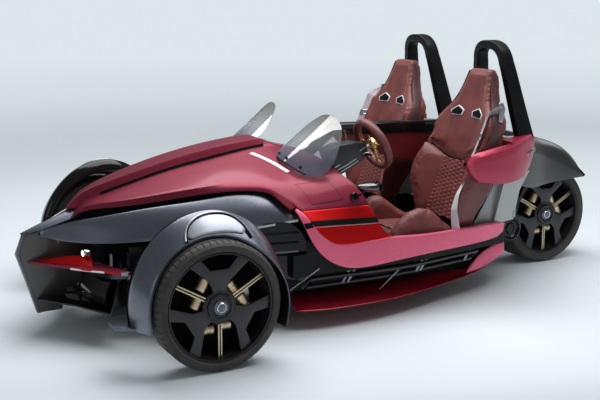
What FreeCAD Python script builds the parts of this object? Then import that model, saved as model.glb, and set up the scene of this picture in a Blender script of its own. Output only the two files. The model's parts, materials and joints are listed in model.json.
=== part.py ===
"""Open two-seat car with two front wheels and one rear wheel on a single-sided arm.

Millimetres, +X towards the nose, +Y to the car's left, +Z up.
The origin is on the ground, under the middle of the overall length.
"""
import FreeCAD
import Part
import math
import os

V = FreeCAD.Vector
os.makedirs("parts", exist_ok=True)

# ---- driving dimensions ---------------------------------------------------
NOSE_X = 1745.0            # foremost point of the keel
FRONT_AXLE_X = 1072.0
REAR_AXLE_X = -1449.0
TYRE_RADIUS = 296.0
FRONT_TYRE_WIDTH = 165.0
REAR_TYRE_WIDTH = 250.0
FRONT_SIDEWALL = 47.0      # height of the tyre outside its rim
REAR_SIDEWALL = 58.0
FRONT_WHEEL_Y = 872.0      # middle plane of each front tyre
KINGPIN_INSET = 97.0       # from that plane in to the upright steering axis
HOOP_TOP_Z = 1379.0
SEAT_Y = 377.0             # middle of each seat
HEAD_TOP_Z = 1233.0
SILL_Y = 680.0             # widest point of the body sides
FLOOR_Z = 165.0            # underside of the tub
FIT = 0.3                  # gap that a soft piece keeps from what carries it
RUNNING_GAP = 6.0          # gap that a turning piece keeps all round
SHAFT_FIT = 0.05           # radial clearance of a shaft in its bore

RIM_RADIUS = TYRE_RADIUS - FRONT_SIDEWALL
REAR_RIM_RADIUS = TYRE_RADIUS - REAR_SIDEWALL
KINGPIN_Y = FRONT_WHEEL_Y - KINGPIN_INSET


# ---- small helpers ---------------------------------------------------------
def box(x0, x1, y0, y1, z0, z1):
    """Block between two corners."""
    return Part.makeBox(x1 - x0, y1 - y0, z1 - z0, V(x0, y0, z0))


def rod(start, end, radius):
    """Round bar between two points."""
    a = V(*start)
    b = V(*end)
    return Part.makeCylinder(radius, (b - a).Length, a, b - a)


def ring(outer, inner, y0, y1, x, z):
    """Ring about an axle along Y."""
    tube = Part.makeCylinder(outer, y1 - y0, V(x, y0, z), V(0, 1, 0))
    return tube.cut(Part.makeCylinder(inner, y1 - y0 + 2, V(x, y0 - 1, z), V(0, 1, 0)))


def disc(radius, y0, y1, x, z):
    """Disc about an axle along Y."""
    return Part.makeCylinder(radius, y1 - y0, V(x, y0, z), V(0, 1, 0))


def wire(points):
    """Closed straight-sided outline."""
    corners = [V(*p) for p in points]
    return Part.makePolygon(corners + [corners[0]])


def loft(sections, ruled=True):
    """Solid through closed outlines that all have as many corners."""
    return Part.makeLoft([wire(s) for s in sections], True, ruled)


def plate_xz(points, y0, y1):
    """Flat plate with an outline in X and Z, thick along Y."""
    face = Part.Face(wire([(x, y0, z) for x, z in points]))
    return face.extrude(V(0, y1 - y0, 0))


def plate_xy(points, z0, z1):
    """Flat plate with an outline in X and Y, thick along Z."""
    face = Part.Face(wire([(x, y, z0) for x, y in points]))
    return face.extrude(V(0, 0, z1 - z0))


def fuse(shapes):
    """One solid out of pieces that overlap."""
    joined = shapes[0].multiFuse(shapes[1:]) if len(shapes) > 1 else shapes[0]
    return joined.removeSplitter()


def largest(shape):
    """The biggest solid that a cut leaves."""
    return max(shape.Solids, key=lambda solid: solid.Volume)


def mirrored(shape):
    """The same piece on the car's right side."""
    return shape.mirror(V(0, 0, 0), V(0, 1, 0))


def save(name, shape):
    """Write one node."""
    shape.exportStep("parts/" + name + ".step")


def save_pair(name, left):
    """Write a left piece and its mirror image as two nodes."""
    save("left_" + name, left)
    save("right_" + name, mirrored(left))


def both(left):
    """A left piece and its mirror image in one node."""
    return Part.makeCompound([left, mirrored(left)])


# ---- chassis ----------------------------------------------------------------
TUB_REAR_X = -790.0
TUB_FRONT_X = 560.0
HULL_Y = 470.0             # half width of the deep hull
SHELF_Z = 285.0            # underside of the shelf that carries the sills
DECK_Z = 300.0             # top of the seat deck
TUB_WALL = 15.0
TUB_SIDE_Y = 640.0         # outside of the upper tub walls
TUB_SIDE_TOP_Z = 395.0
TUB_REAR_SIDE_Y = 535.0    # the tub narrows to this at its rear
TAPER_X = -200.0           # where the narrowing starts
FOOTWELL_REAR_X = -60.0
JACK_PAD = (100.0, 80.0, 8.0)        # pad under the tub, with its length, width and depth
JACK_X = 200.0
JACK_Y = 390.0
BATTERY_FRONT_X = -120.0
BATTERY_Z = 120.0          # height of the battery block
HULL_REAR_Y = 400.0


def tub_outline(y_front, y_rear):
    """Plan of the tub for a given half width in front and at the rear."""
    half = [(TUB_FRONT_X, y_front), (TAPER_X, y_front), (TUB_REAR_X, y_rear)]
    return half + [(x, -y) for x, y in reversed(half)]


def chassis_tub():
    hull = plate_xy(tub_outline(HULL_Y, HULL_REAR_Y), FLOOR_Z, DECK_Z)
    shelf = plate_xy(tub_outline(TUB_SIDE_Y, TUB_REAR_SIDE_Y), SHELF_Z, TUB_SIDE_TOP_Z)
    inner = plate_xy(
        [(TUB_FRONT_X - TUB_WALL, TUB_SIDE_Y - TUB_WALL), (TAPER_X, TUB_SIDE_Y - TUB_WALL),
         (TUB_REAR_X + TUB_WALL, TUB_REAR_SIDE_Y - TUB_WALL),
         (TUB_REAR_X + TUB_WALL, TUB_WALL - TUB_REAR_SIDE_Y), (TAPER_X, TUB_WALL - TUB_SIDE_Y),
         (TUB_FRONT_X - TUB_WALL, TUB_WALL - TUB_SIDE_Y)],
        DECK_Z, TUB_SIDE_TOP_Z + 1)
    footwell = box(FOOTWELL_REAR_X, TUB_FRONT_X - TUB_WALL, TUB_WALL - HULL_Y, HULL_Y - TUB_WALL,
                   FLOOR_Z + TUB_WALL, TUB_SIDE_TOP_Z)
    length, width, depth = JACK_PAD
    pads = [box(JACK_X - length / 2, JACK_X + length / 2, y - width / 2, y + width / 2,
                FLOOR_Z - depth, FLOOR_Z) for y in (-JACK_Y, JACK_Y)]
    return fuse([hull, shelf] + pads).cut(inner).cut(footwell).cut(battery_pack())


def battery_pack():
    """Flat block let into the underside of the tub, below the seats."""
    y_rear = HULL_REAR_Y - 50
    half = [(BATTERY_FRONT_X, HULL_Y - 50), (TAPER_X, HULL_Y - 50), (TUB_REAR_X + 50, y_rear)]
    return plate_xy(half + [(x, -y) for x, y in reversed(half)], FLOOR_Z, FLOOR_Z + BATTERY_Z)


FRAME_Y = 170.0            # half width of the front frame
FRAME_FRONT_X = 1400.0
FRAME_TOP_Z = 440.0
FRAME_BAR = 50.0
TOW_BORE_Y = 95.0          # cross bore in the foremost lower bar, for a towing or tie-down pin
TOW_BORE_RADIUS = 8.5


def front_frame():
    """Two side ladders joined by cross members, ahead of the tub."""
    bars = []
    for y in (-FRAME_Y, FRAME_Y - FRAME_BAR):
        for z in (FLOOR_Z + 15, FRAME_TOP_Z - FRAME_BAR):
            bars.append(box(TUB_FRONT_X, FRAME_FRONT_X, y, y + FRAME_BAR, z, z + FRAME_BAR))
        for x in (TUB_FRONT_X, FRONT_AXLE_X - 150, FRONT_AXLE_X + 100, FRAME_FRONT_X - FRAME_BAR):
            bars.append(box(x, x + FRAME_BAR, y, y + FRAME_BAR, FLOOR_Z + 15, FRAME_TOP_Z))
    for x in (TUB_FRONT_X, FRONT_AXLE_X - 150, FRONT_AXLE_X + 100, FRAME_FRONT_X - FRAME_BAR):
        for z in (FLOOR_Z + 15, FRAME_TOP_Z - FRAME_BAR):
            bars.append(box(x, x + FRAME_BAR, -FRAME_Y, FRAME_Y, z, z + FRAME_BAR))
    bars.append(box(TUB_FRONT_X, TUB_FRONT_X + 15, -420, 420, FLOOR_Z + 15, 560))
    low_bar_z = FLOOR_Z + 15 + FRAME_BAR / 2
    bore = rod((FRAME_FRONT_X - FRAME_BAR - 1, TOW_BORE_Y, low_bar_z),
               (FRAME_FRONT_X + 1, TOW_BORE_Y, low_bar_z), TOW_BORE_RADIUS)
    return fuse(bars).cut(bore)


RAIL_Z = 252.0
RAIL_RADIUS = 14.0


def side_rails():
    """Open side frame below each sill: a long rail, a lower rail and struts to the hull."""
    path = [(440, 585, RAIL_Z), (-100, 600, RAIL_Z), (-640, 500, RAIL_Z)]
    low = [(450, 560, 205), (-80, 560, 205), (-620, 465, 205)]
    parts = []
    for line in (path, low):
        for a, b in zip(line, line[1:]):
            parts.append(rod(a, b, RAIL_RADIUS))
        parts.append(Part.makeSphere(RAIL_RADIUS, V(*line[1])))
    for x, y, root in ((400, 588, HULL_Y), (120, 593, HULL_Y), (-180, 585, HULL_Y),
                       (-480, 529, 435)):
        parts.append(rod((x, root - 5, RAIL_Z), (x, y, RAIL_Z), 9))
        parts.append(rod((x, root - 5, 205), (x, y - 25, 205), 9))
        parts.append(rod((x, y, RAIL_Z), (x, y + 5, SHELF_Z + 5), 9))
        parts.append(rod((x, y - 25, 205), (x, y, RAIL_Z), 9))
    frame = fuse(parts)
    tub = chassis_tub()
    return both(frame.cut(tub))


# ---- nose ------------------------------------------------------------------
KEEL_Y = 16.0              # half thickness of the upright blade
BEAK_Y = 58.0              # half width of its cap
NOSE_GROUND_Z = 95.0


def nose_keel():
    """Upright centre blade with a roof-shaped cap that runs back to the bonnet."""
    blade = plate_xz([(1705, 500), (NOSE_X, 399), (1654, NOSE_GROUND_Z), (1528, NOSE_GROUND_Z + 2),
                      (1500, 200), (FRAME_FRONT_X, 230), (FRAME_FRONT_X, 560), (1450, 585)],
                     -KEEL_Y, KEEL_Y)
    cap_sections = []
    # x, half width, edge z, ridge z
    for x, half, edge, ridge in ((1716, 14, 492, 500), (1640, 44, 508, 536), (1520, BEAK_Y, 545, 580),
                                 (1420, BEAK_Y, 575, 612)):
        cap_sections.append([(x, -half, edge), (x, 0, edge - 14), (x, half, edge), (x, 10, ridge),
                             (x, -10, ridge)])
    return fuse([blade, loft(cap_sections)])


# x, top edge y and z, bottom edge y and z
WING_STATIONS = (
    (1622, 30, 520, 42, 484),
    (1500, 110, 560, 150, 462),
    (1340, 215, 592, 315, 474),
    (1160, 330, 636, 425, 496),
    (960, 405, 655, 500, 512),
    (774, 455, 700, 545, 524),
    (640, 490, 690, 565, 538),
    (535, 520, 628, 580, 548),
    (480, 545, 585, 590, 555),
)
WING_THICKNESS = 14.0


def nose_wing():
    """Long side blade below the bonnet edge, from the beak back to the cowl."""
    sections = []
    for x, top_y, top_z, low_y, low_z in WING_STATIONS:
        mid_y = (top_y + low_y) / 2 + 12
        mid_z = (top_z + low_z) / 2 + 6
        sections.append([(x, top_y, top_z), (x, mid_y, mid_z), (x, low_y, low_z),
                         (x, low_y - WING_THICKNESS, low_z),
                         (x, mid_y - WING_THICKNESS, mid_z - 2),
                         (x, top_y - WING_THICKNESS, top_z - 3)])
    return largest(loft(sections).cut(nose_keel()))


def nose_fins():
    """Thin swept fin on each side of the keel."""
    outline = [(1690, KEEL_Y), (1535, 220), (1412, 360), (1330, 455), (1312, 440), (1345, 330),
               (1404, FRAME_Y), (1430, KEEL_Y)]
    return both(plate_xy(outline, 352, 364))


def splitter():
    """Low arrow-shaped lip with a raised end plate at each tip."""
    outline = [(1655, KEEL_Y), (1517, 205), (1413, 415), (1330, 430), (1345, 330), (1400, KEEL_Y)]
    lip = plate_xy(outline, 160, 172)
    end_plate = plate_xz([(1413, 160), (1330, 160), (1300, 330), (1372, 330)], 418, 430)
    return both(fuse([lip, end_plate]))


def headlamps():
    """Small lamp under each wing, on a stem from the frame."""
    lamp = box(1428, 1470, 178, 226, 398, 440)
    stem = box(FRAME_FRONT_X - 20, 1432, FRAME_Y, 190, 405, 420)
    return both(fuse([lamp, stem]))


# ---- bonnet, cowls and sills -----------------------------------------------
SKIN = 12.0
# x, spine y and z, mid y and z, shoulder y and z, edge y and z
BONNET_STATIONS = (
    (1420, 22, 628, 45, 629, 78, 632, 82, 604),
    (1200, 80, 702, 165, 690, 252, 671, 262, 640),
    (1000, 92, 752, 230, 738, 372, 717, 384, 686),
    (800, 97, 793, 270, 772, 435, 741, 450, 708),
    (640, 95, 822, 290, 793, 498, 738, 512, 706),
    (450, 92, 838, 290, 796, 478, 724, 480, 705),
    (225, 92, 816, 300, 806, 500, 752, 503, 735),
)
SPINE_END_X = 400.0
SPINE_RISE = 56.0
SPINE_TAPER = 18.0         # how far each side of the spine leans in


def bonnet():
    """Folded top panel with a raised spine that ends ahead of the cockpit."""
    sections = []
    for x, sy, sz, my, mz, hy, hz, ey, ez in BONNET_STATIONS:
        outer = [(x, ey, ez), (x, hy, hz), (x, my, mz), (x, sy, sz)]
        inner = [(x, sy, sz - SKIN), (x, my, mz - SKIN), (x, hy - SKIN, hz - SKIN),
                 (x, ey - SKIN, ez)]
        top = outer + [(x, -y, z) for x, y, z in reversed(outer)]
        under = [(x, -y, z) for x, y, z in reversed(inner)] + inner
        sections.append(top + under)
    panel = loft(sections)
    ridge = []
    for x, half, z, ahead in ((1420, 28, 628, 0), (1200, 86, 702, 0), (1000, 96, 752, 0), (800, 99, 793, 0),
                              (640, 98, 822, 0), (SPINE_END_X, 94, 836, 45)):
        ridge.append([(x, -half, z - 6), (x, half, z - 6),
                      (x + ahead, half - SPINE_TAPER, z + SPINE_RISE),
                      (x + ahead, SPINE_TAPER - half, z + SPINE_RISE)])
    return fuse([panel, loft(ridge)])


# z, front x and y, rear x and y
COWL_LEVELS = (
    (732, 600, 503, 200, 512),
    (690, 548, 528, 140, 545),
    (600, 470, 583, 112, 592),
    (545, 430, 612, 85, 622),
    (440, 375, 650, 17, 658),
    (398, 345, 655, -10, 660),
)


def cowl():
    """Side panel of the scuttle, down to the sill, with a slanted rear edge."""
    sections = []
    for z, xf, yf, xr, yr in COWL_LEVELS:
        sections.append([(xf, yf, z), (xr, yr, z), (xr, yr - SKIN, z), (xf, yf - SKIN, z)])
    return largest(loft(sections).cut(bonnet()).cut(sill()))


# x, outer y, low z, top z
SILL_STATIONS = (
    (400, 672, 370, 398),
    (345, 675, 318, 400),
    (255, 678, 297, 404),
    (0, SILL_Y, 318, 420),
    (-200, 668, 328, 414),
    (-500, 616, 324, 406),
    (TUB_REAR_X, 562, 330, 398),
)
# z, front x, rear x, outer y of the front edge, outer y of the rear edge
SILL_DROP = (
    (600, 502, 462, 588, 600),
    (545, 470, 422, 618, 628),
    (440, 425, 355, 654, 664),
    (398, 400, 300, 662, 672),
)
SILL_BEVEL = 14.0


def tub_side_y(x):
    """Half width of the tub's upper walls at a given x."""
    share = min(max((TAPER_X - x) / (TAPER_X - TUB_REAR_X), 0), 1)
    return TUB_SIDE_Y + (TUB_REAR_SIDE_Y - TUB_SIDE_Y) * share


def sill():
    """Ribbon that drops along the cowl's front edge and runs back under the cockpit."""
    drop = []
    for z, xf, xr, yf, yr in SILL_DROP:
        drop.append([(xf, yf, z), (xr, yr, z), (xr, yr - SILL_BEVEL, z), (xf, yf - SILL_BEVEL, z)])
    ribbon = []
    for x, y, low, top in SILL_STATIONS:
        inner = tub_side_y(x)
        ribbon.append([(x, y, low), (x, y, top - SILL_BEVEL), (x, y - 12, top), (x, inner, top),
                       (x, inner, low + 4)])
    return fuse([loft(drop), loft(ribbon)])


SKIRT_Z = 118.0


def side_skirts():
    """Floor wing on each side, with a turned-up lip and tail."""
    plate = []
    # x, inner y, outer y, z of the plate
    for x, yi, yo, z in ((520, 440, 612, SKIRT_Z), (370, 440, 652, SKIRT_Z), (80, 440, 655, SKIRT_Z),
                         (-200, 430, 600, SKIRT_Z), (-530, 385, 500, SKIRT_Z + 4),
                         (-695, 365, 462, SKIRT_Z + 20), (-800, 372, 455, SKIRT_Z + 90),
                         (-860, 385, 452, SKIRT_Z + 135)):
        plate.append([(x, yi, z), (x, yo - 18, z), (x, yo, z + 16), (x, yo, z + 26),
                      (x, yo - 22, z + 10), (x, yi, z + 10)])
    wing = largest(loft(plate).cut(chassis_tub()))
    brackets = []
    for x, y in ((300, 445), (-120, 445), (-450, 415)):
        brackets.append(box(x - 30, x + 30, y, y + 12, SKIRT_Z + 4, FLOOR_Z).cut(wing))
    return both(Part.makeCompound([wing] + [largest(bracket) for bracket in brackets]))


def windscreens():
    """Raked oval blade ahead of each seat, bent across its width."""
    radius = 330.0
    blade = 5.0
    rake = math.radians(37)
    base = V(505, 300, 800)
    tube = Part.makeCylinder(radius, 460, V(0, 0, -40), V(0, 0, 1))
    tube = tube.cut(Part.makeCylinder(radius - blade, 462, V(0, 0, -41), V(0, 0, 1)))
    # outline across the blade (Y) and up it (Z), swept through its front half
    outline = [(-120, 40), (-60, -5), (60, -12), (150, -10), (205, 70), (237, 185), (214, 285),
               (150, 360), (60, 377), (-20, 370), (-95, 290), (-146, 180)]
    face = Part.Face(wire([(0, y, z) for y, z in outline]))
    shape = tube.common(face.extrude(V(radius + 20, 0, 0)))
    shape.translate(V(-radius, 0, 0))
    shape.rotate(V(0, 0, 0), V(0, 1, 0), -math.degrees(math.pi / 2 - rake))
    shape.translate(base)
    return both(largest(shape.cut(bonnet())))


def mirrors():
    """Door mirror on a short stalk, on each cowl."""
    head = loft([[(97, 630, 676), (97, 700, 676), (97, 700, 728), (97, 630, 733)],
                 [(222, 632, 704), (222, 690, 704), (222, 690, 724), (222, 632, 727)]])
    stalk = rod((187, 590, 640), (160, 655, 695), 8)
    foot = Part.makeCylinder(24, 40, V(187, 556, 640), V(0, 1, 0))
    return both(largest(fuse([head, stalk, foot]).cut(cowl())))


# ---- cockpit -----------------------------------------------------------------
DASH_X = 210.0             # rear face of the dash
DASH_TOP_Z = 728.0
DASH_HALF = 476.0


def dashboard():
    """Cross panel that closes the scuttle under the bonnet's rear edge."""
    section = [(DASH_X, DASH_TOP_Z), (300, DASH_TOP_Z), (300, 640), (250, 600), (230, 600)]
    return plate_xz(section, -DASH_HALF, DASH_HALF)


WHEEL_CENTRE = V(-40, SEAT_Y, 866)
WHEEL_TILT = 26.0          # lean of the steering wheel's plane from upright
WHEEL_RIM_RADIUS = 128.0
WHEEL_TUBE = 21.0
COLUMN_LENGTH = 250.0


def column_axis():
    """Unit vector from the dash towards the driver."""
    tilt = math.radians(WHEEL_TILT)
    return V(-math.cos(tilt), 0, math.sin(tilt))


BONNET_REAR_X = 225.0
SHAFT_RADIUS = 14.0
HUB_DEPTH = 34.0


def steering_column():
    """Squared pod on the dash, with the shaft that carries the wheel."""
    axis = column_axis()
    start = WHEEL_CENTRE - axis * (COLUMN_LENGTH + 30)
    pod = Part.makeBox(100, 90, COLUMN_LENGTH - 40, V(-50, -45, 0))
    pod.rotate(V(0, 0, 0), V(0, 1, 0), -(90 - WHEEL_TILT))
    pod.translate(start)
    ahead = box(BONNET_REAR_X - 3, BONNET_REAR_X + 200, SEAT_Y - 60, SEAT_Y + 60, 600, 900)
    shaft = Part.makeCylinder(SHAFT_RADIUS, COLUMN_LENGTH - 30, start + axis * 60, axis)
    foot = box(DASH_X + 2, BONNET_REAR_X - 3, SEAT_Y - 40, SEAT_Y + 40, DASH_TOP_Z, 780)
    return fuse([pod.cut(ahead), shaft, foot])


def steering_wheel():
    """Round rim, three flat spokes and a hub that slips over the shaft."""
    axis = column_axis()
    rim = Part.makeTorus(WHEEL_RIM_RADIUS, WHEEL_TUBE, WHEEL_CENTRE, axis)
    hub = Part.makeCylinder(36, HUB_DEPTH, WHEEL_CENTRE - axis * HUB_DEPTH * 0.45, axis)
    spokes = []
    for angle in (0, 120, 240):
        spoke = Part.makeBox(WHEEL_RIM_RADIUS, 26, 8, V(0, -13, -4))
        spoke.rotate(V(0, 0, 0), V(0, 0, 1), angle + 30)
        spoke.rotate(V(0, 0, 0), V(0, 1, 0), -(90 - WHEEL_TILT))
        spoke.translate(WHEEL_CENTRE)
        spokes.append(spoke)
    bore = Part.makeCylinder(SHAFT_RADIUS + SHAFT_FIT, HUB_DEPTH, WHEEL_CENTRE - axis * HUB_DEPTH, axis)
    return fuse([rim, hub] + spokes).cut(bore)


CUSHION_HALF = 205.0
SEAT_HALF = 252.0          # over the bolsters
BACK_FOOT_X = -480.0
# z, front x, half width, thickness
BACK_LEVELS = (
    (DECK_Z + FIT, -470, 172, 110),
    (430, -480, 180, 118),
    (560, -512, 225, 120),
    (820, -595, 235, 110),
    (930, -632, 225, 100),
    (1030, -665, 165, 90),
    (1120, -690, 118, 85),
    (HEAD_TOP_Z, -710, 100, 70),
)
# z, front x, inner half width, outer half width, depth ahead of the back
BOLSTER_LEVELS = (
    (430, -420, 150, 212, 130),
    (600, -450, 165, 250, 150),
    (800, -540, 165, SEAT_HALF, 130),
    (930, -600, 170, 240, 110),
)


def seat():
    """Bucket back with side bolsters, plain inside its leather."""
    back = []
    for z, xf, half, thick in BACK_LEVELS:
        back.append([(xf, SEAT_Y - half, z), (xf, SEAT_Y + half, z),
                     (xf - thick, SEAT_Y + half - 25, z), (xf - thick, SEAT_Y - half + 25, z)])
    shapes = [loft(back)]
    for side in (-1, 1):
        bolster = []
        for z, xf, inner, outer, depth in BOLSTER_LEVELS:
            bolster.append([(xf, SEAT_Y + side * (inner + 25), z), (xf, SEAT_Y + side * outer, z),
                            (xf - depth, SEAT_Y + side * outer, z),
                            (xf - depth, SEAT_Y + side * inner, z)])
        shapes.append(loft(bolster))
    return fuse(shapes)


CUSHION_FRONT_X = -70.0
CUSHION_TOP_Z = 430.0
CUSHION_REAR_X = -400.0


def cushion():
    """Seat cushion with raised thigh supports."""
    base = plate_xz([(CUSHION_FRONT_X, DECK_Z + FIT), (CUSHION_FRONT_X - 20, CUSHION_TOP_Z),
                     (CUSHION_REAR_X, CUSHION_TOP_Z - 30), (CUSHION_REAR_X, DECK_Z + FIT)],
                    SEAT_Y - CUSHION_HALF, SEAT_Y + CUSHION_HALF)
    side = [(CUSHION_FRONT_X - 10, CUSHION_TOP_Z - 20), (-180, 535), (-280, 530),
            (CUSHION_REAR_X, 450), (CUSHION_REAR_X, CUSHION_TOP_Z - 60)]
    inner = plate_xz(side, SEAT_Y - CUSHION_HALF, SEAT_Y - CUSHION_HALF + 75)
    outer = plate_xz(side, SEAT_Y + CUSHION_HALF - 75, SEAT_Y + CUSHION_HALF)
    return fuse([base, inner, outer])


BEAM_Y = 36.0


def centre_beam():
    """Bar with a deep side panel between the two seats, from the dash to the rear body."""
    bar = plate_xz([(DASH_X, 690), (0, 868), (-860, 838), (-860, 906), (0, 932), (DASH_X, 728)],
                   -BEAM_Y, BEAM_Y)
    panel = plate_xz([(-20, 870), (-60, 800), (-520, 690), (-860, 640), (-860, 845)], -BEAM_Y + 10,
                     BEAM_Y - 10)
    return largest(fuse([bar, panel]).cut(rear_body()))


# x, distance out from the seat's middle, and z along the strap
BELT_PATH = (
    (-690, 197, 1000),
    (-650, 247, 930),
    (-560, 257, 800),
    (-500, 257, 620),
    (-478, 219, 430),
)
BELT_HALF = 22.0
BELT_THICKNESS = 3.0
BELT_END_X = -476.0


def seat_belts():
    """Strap down the outer side of each seat, from the shoulder to the tub wall."""
    path = [(x, SEAT_Y + out, z) for x, out, z in BELT_PATH]
    path.append((BELT_END_X, tub_side_y(BELT_END_X) - TUB_WALL + 4, TUB_SIDE_TOP_Z))
    strap = []
    for x, y, z in path:
        outside = y + BELT_THICKNESS
        strap.append([(x - BELT_HALF, y, z), (x + BELT_HALF, y, z), (x + BELT_HALF, outside, z),
                      (x - BELT_HALF, outside, z)])
    return both(loft(strap))


# ---- rear --------------------------------------------------------------------
PIVOT_X = -922.0
PIVOT_Z = 329.0
PIVOT_RADIUS = 34.0
PIVOT_CAP_RADIUS = 53.0
ARM_Y = -REAR_TYRE_WIDTH / 2 - 90    # middle of the single arm, on the car's right
ARM_ROOT_HALF = 35.0       # half thickness of the arm at its pivot
ARM_ROOT_HEIGHT = 120.0
REAR_BODY_X = -1010.0      # rear face of the rear body
REAR_BODY_Y = 360.0
REAR_BODY_LOW_Z = 250.0
REAR_BODY_MID_Z = 640.0
REAR_BODY_TOP_Z = 850.0


def rear_body():
    """Box behind the seats with silver side panels, which carries hoops, pods and arm."""
    block = box(REAR_BODY_X, TUB_REAR_X, -REAR_BODY_Y, REAR_BODY_Y, REAR_BODY_LOW_Z, REAR_BODY_MID_Z)
    levels = []
    # z, front x, front half width, rear half width
    for z, x, front, rear in ((REAR_BODY_MID_Z, -850, 500, 430), (REAR_BODY_TOP_Z, -860, 520, 400)):
        levels.append([(x, -front, z), (x, front, z), (REAR_BODY_X, rear, z), (REAR_BODY_X, -rear, z)])
    parts = [block, loft(levels)]
    for side in (-1, 1):
        panel = []
        # z, front x, rear x, front outer y, front inner y
        for z, xf, xr, outer, inner in ((385, -740, -930, 505, 470), (645, -800, -990, 520, 355)):
            panel.append([(xf, side * outer, z), (xr, side * 440, z), (xr, side * 355, z),
                          (xf, side * inner, z)])
        parts.append(loft(panel))
    reach = 500
    pivot = Part.makeCylinder(PIVOT_RADIUS + SHAFT_FIT, 2 * reach, V(PIVOT_X, -reach, PIVOT_Z), V(0, 1, 0))
    slot_y = ARM_ROOT_HALF + RUNNING_GAP
    slot_z = ARM_ROOT_HEIGHT / 2 + RUNNING_GAP
    slot = box(REAR_BODY_X - 1, PIVOT_X + 80, ARM_Y - slot_y, ARM_Y + slot_y, PIVOT_Z - slot_z,
               PIVOT_Z + slot_z)
    return fuse(parts).cut(pivot).cut(slot).cut(chassis_tub())


POD_CLEAR = 11.0           # gap between the pod and the widest part of the seat
# x, outer y, low z, top z, and inner y where the pod reaches in behind the seat
POD_STATIONS = (
    (-440, 662, 755, 790, None),
    (-505, 688, 662, 818, None),
    (-690, 680, 640, 848, None),
    (-742, 672, 642, 856, None),
    (-760, 662, 643, 858, 521),
    (-850, 626, 655, 872, 521),
    (-955, 566, 735, 884, 470),
)


def shoulder_pod():
    """Faceted pod beside the seat's shoulder, rising to the rear."""
    beside = SEAT_Y + SEAT_HALF + POD_CLEAR
    sections = []
    for x, outer, low, top, behind in POD_STATIONS:
        inner = behind or beside
        sections.append([(x, inner, low), (x, outer - 12, low), (x, outer, (low + top) / 2),
                         (x, outer - 22, top), (x, inner, top)])
    return largest(largest(loft(sections).cut(rear_body())).cut(roll_hoop()))


HOOP_Y = SEAT_Y - 27
HOOP_HALF = 107.0          # half the distance between the legs at the top
HOOP_LEG = 46.0
HOOP_FOOT_HALF = 190.0
HOOP_TOP_X = -800.0
HOOP_FOOT_X = -905.0
HOOP_TOP_DEPTH = 66.0
HOOP_FOOT_DEPTH = 105.0


def roll_hoop():
    """Inverted U with flat tapered legs that spread towards their feet."""
    outer_r = HOOP_HALF + HOOP_LEG / 2
    inner_r = HOOP_HALF - HOOP_LEG / 2
    spring_z = HOOP_TOP_Z - outer_r * 0.75
    # distance from the hoop's middle and z, up the outside and up the inside
    under_z = HOOP_TOP_Z - HOOP_LEG
    outside = [(HOOP_FOOT_HALF + HOOP_LEG / 2, REAR_BODY_TOP_Z), (outer_r, spring_z),
               (outer_r * 0.9, HOOP_TOP_Z - outer_r * 0.25), (outer_r * 0.55, HOOP_TOP_Z)]
    inside = [(HOOP_FOOT_HALF - HOOP_LEG / 2, REAR_BODY_TOP_Z), (inner_r, spring_z),
              (inner_r * 0.85, under_z - inner_r * 0.25), (inner_r * 0.5, under_z)]
    outline = outside + [(-y, z) for y, z in reversed(outside)]
    outline += [(-y, z) for y, z in inside] + list(reversed(inside))
    faces = []
    for side in (1, -1):
        face = []
        for y, z in outline:
            share = (z - REAR_BODY_TOP_Z) / (HOOP_TOP_Z - REAR_BODY_TOP_Z)
            middle = HOOP_FOOT_X + (HOOP_TOP_X - HOOP_FOOT_X) * share
            depth = HOOP_FOOT_DEPTH + (HOOP_TOP_DEPTH - HOOP_FOOT_DEPTH) * share
            face.append((middle + side * depth / 2, HOOP_Y + y, z))
        faces.append(face)
    return loft(faces)


FENDER_GAP = 24.0
# distance ahead of the axle; half widths beyond the tyre's, at the top and the side;
# side, top and low edge above the axle
TAIL_STATIONS = (
    (299, 125, 205, 424, 519, 224),
    (149, 65, 125, 354, 479, 204),
    (-7, 25, 80, 294, 404, 174),
    (-131, 0, 60, 234, 314, 144),
    (-213, -20, 47, 204, 234, 134),
)
TAIL_FLANK_RADIUS = 215.0


def tail_fender():
    """Hood behind the seats that narrows down over the rear tyre."""
    half = REAR_TYRE_WIDTH / 2
    stations = [(REAR_BODY_X, 330, 395, 760, 848, 560)]
    for ahead, top_y, side_y, side_z, top_z, low_z in TAIL_STATIONS:
        stations.append((REAR_AXLE_X + ahead, half + top_y, half + side_y, TYRE_RADIUS + side_z,
                         TYRE_RADIUS + top_z, TYRE_RADIUS + low_z))
    sections = []
    for x, top_y, side_y, side_z, top_z, low_z in stations:
        sections.append([(x, -side_y, low_z), (x, side_y, low_z), (x, side_y, side_z),
                         (x, top_y, top_z), (x, -top_y, top_z), (x, -side_y, side_z)])
    inner_half = half + FENDER_GAP
    arch = disc(TYRE_RADIUS + FENDER_GAP, -inner_half, inner_half, REAR_AXLE_X, TYRE_RADIUS)
    lower = box(REAR_AXLE_X - 600, REAR_BODY_X - 70, -inner_half, inner_half, 0, TYRE_RADIUS + 200)
    flank = disc(TAIL_FLANK_RADIUS, -500, 500, REAR_AXLE_X + 20, TYRE_RADIUS)
    return loft(sections).cut(arch).cut(lower).cut(flank)


REAR_AXLE_RADIUS = 26.0


PIVOT_HALF = 400.0         # half length of the pivot tube
PIVOT_CAP_DEPTH = 24.0
ARM_TIP_HALF = 30.0
ARM_TIP_HEIGHT = 90.0
REAR_HUB_OUT = 25.0        # how far the hub ends inside the rim's outer edge
REAR_HUB_IN = 47.0


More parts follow.
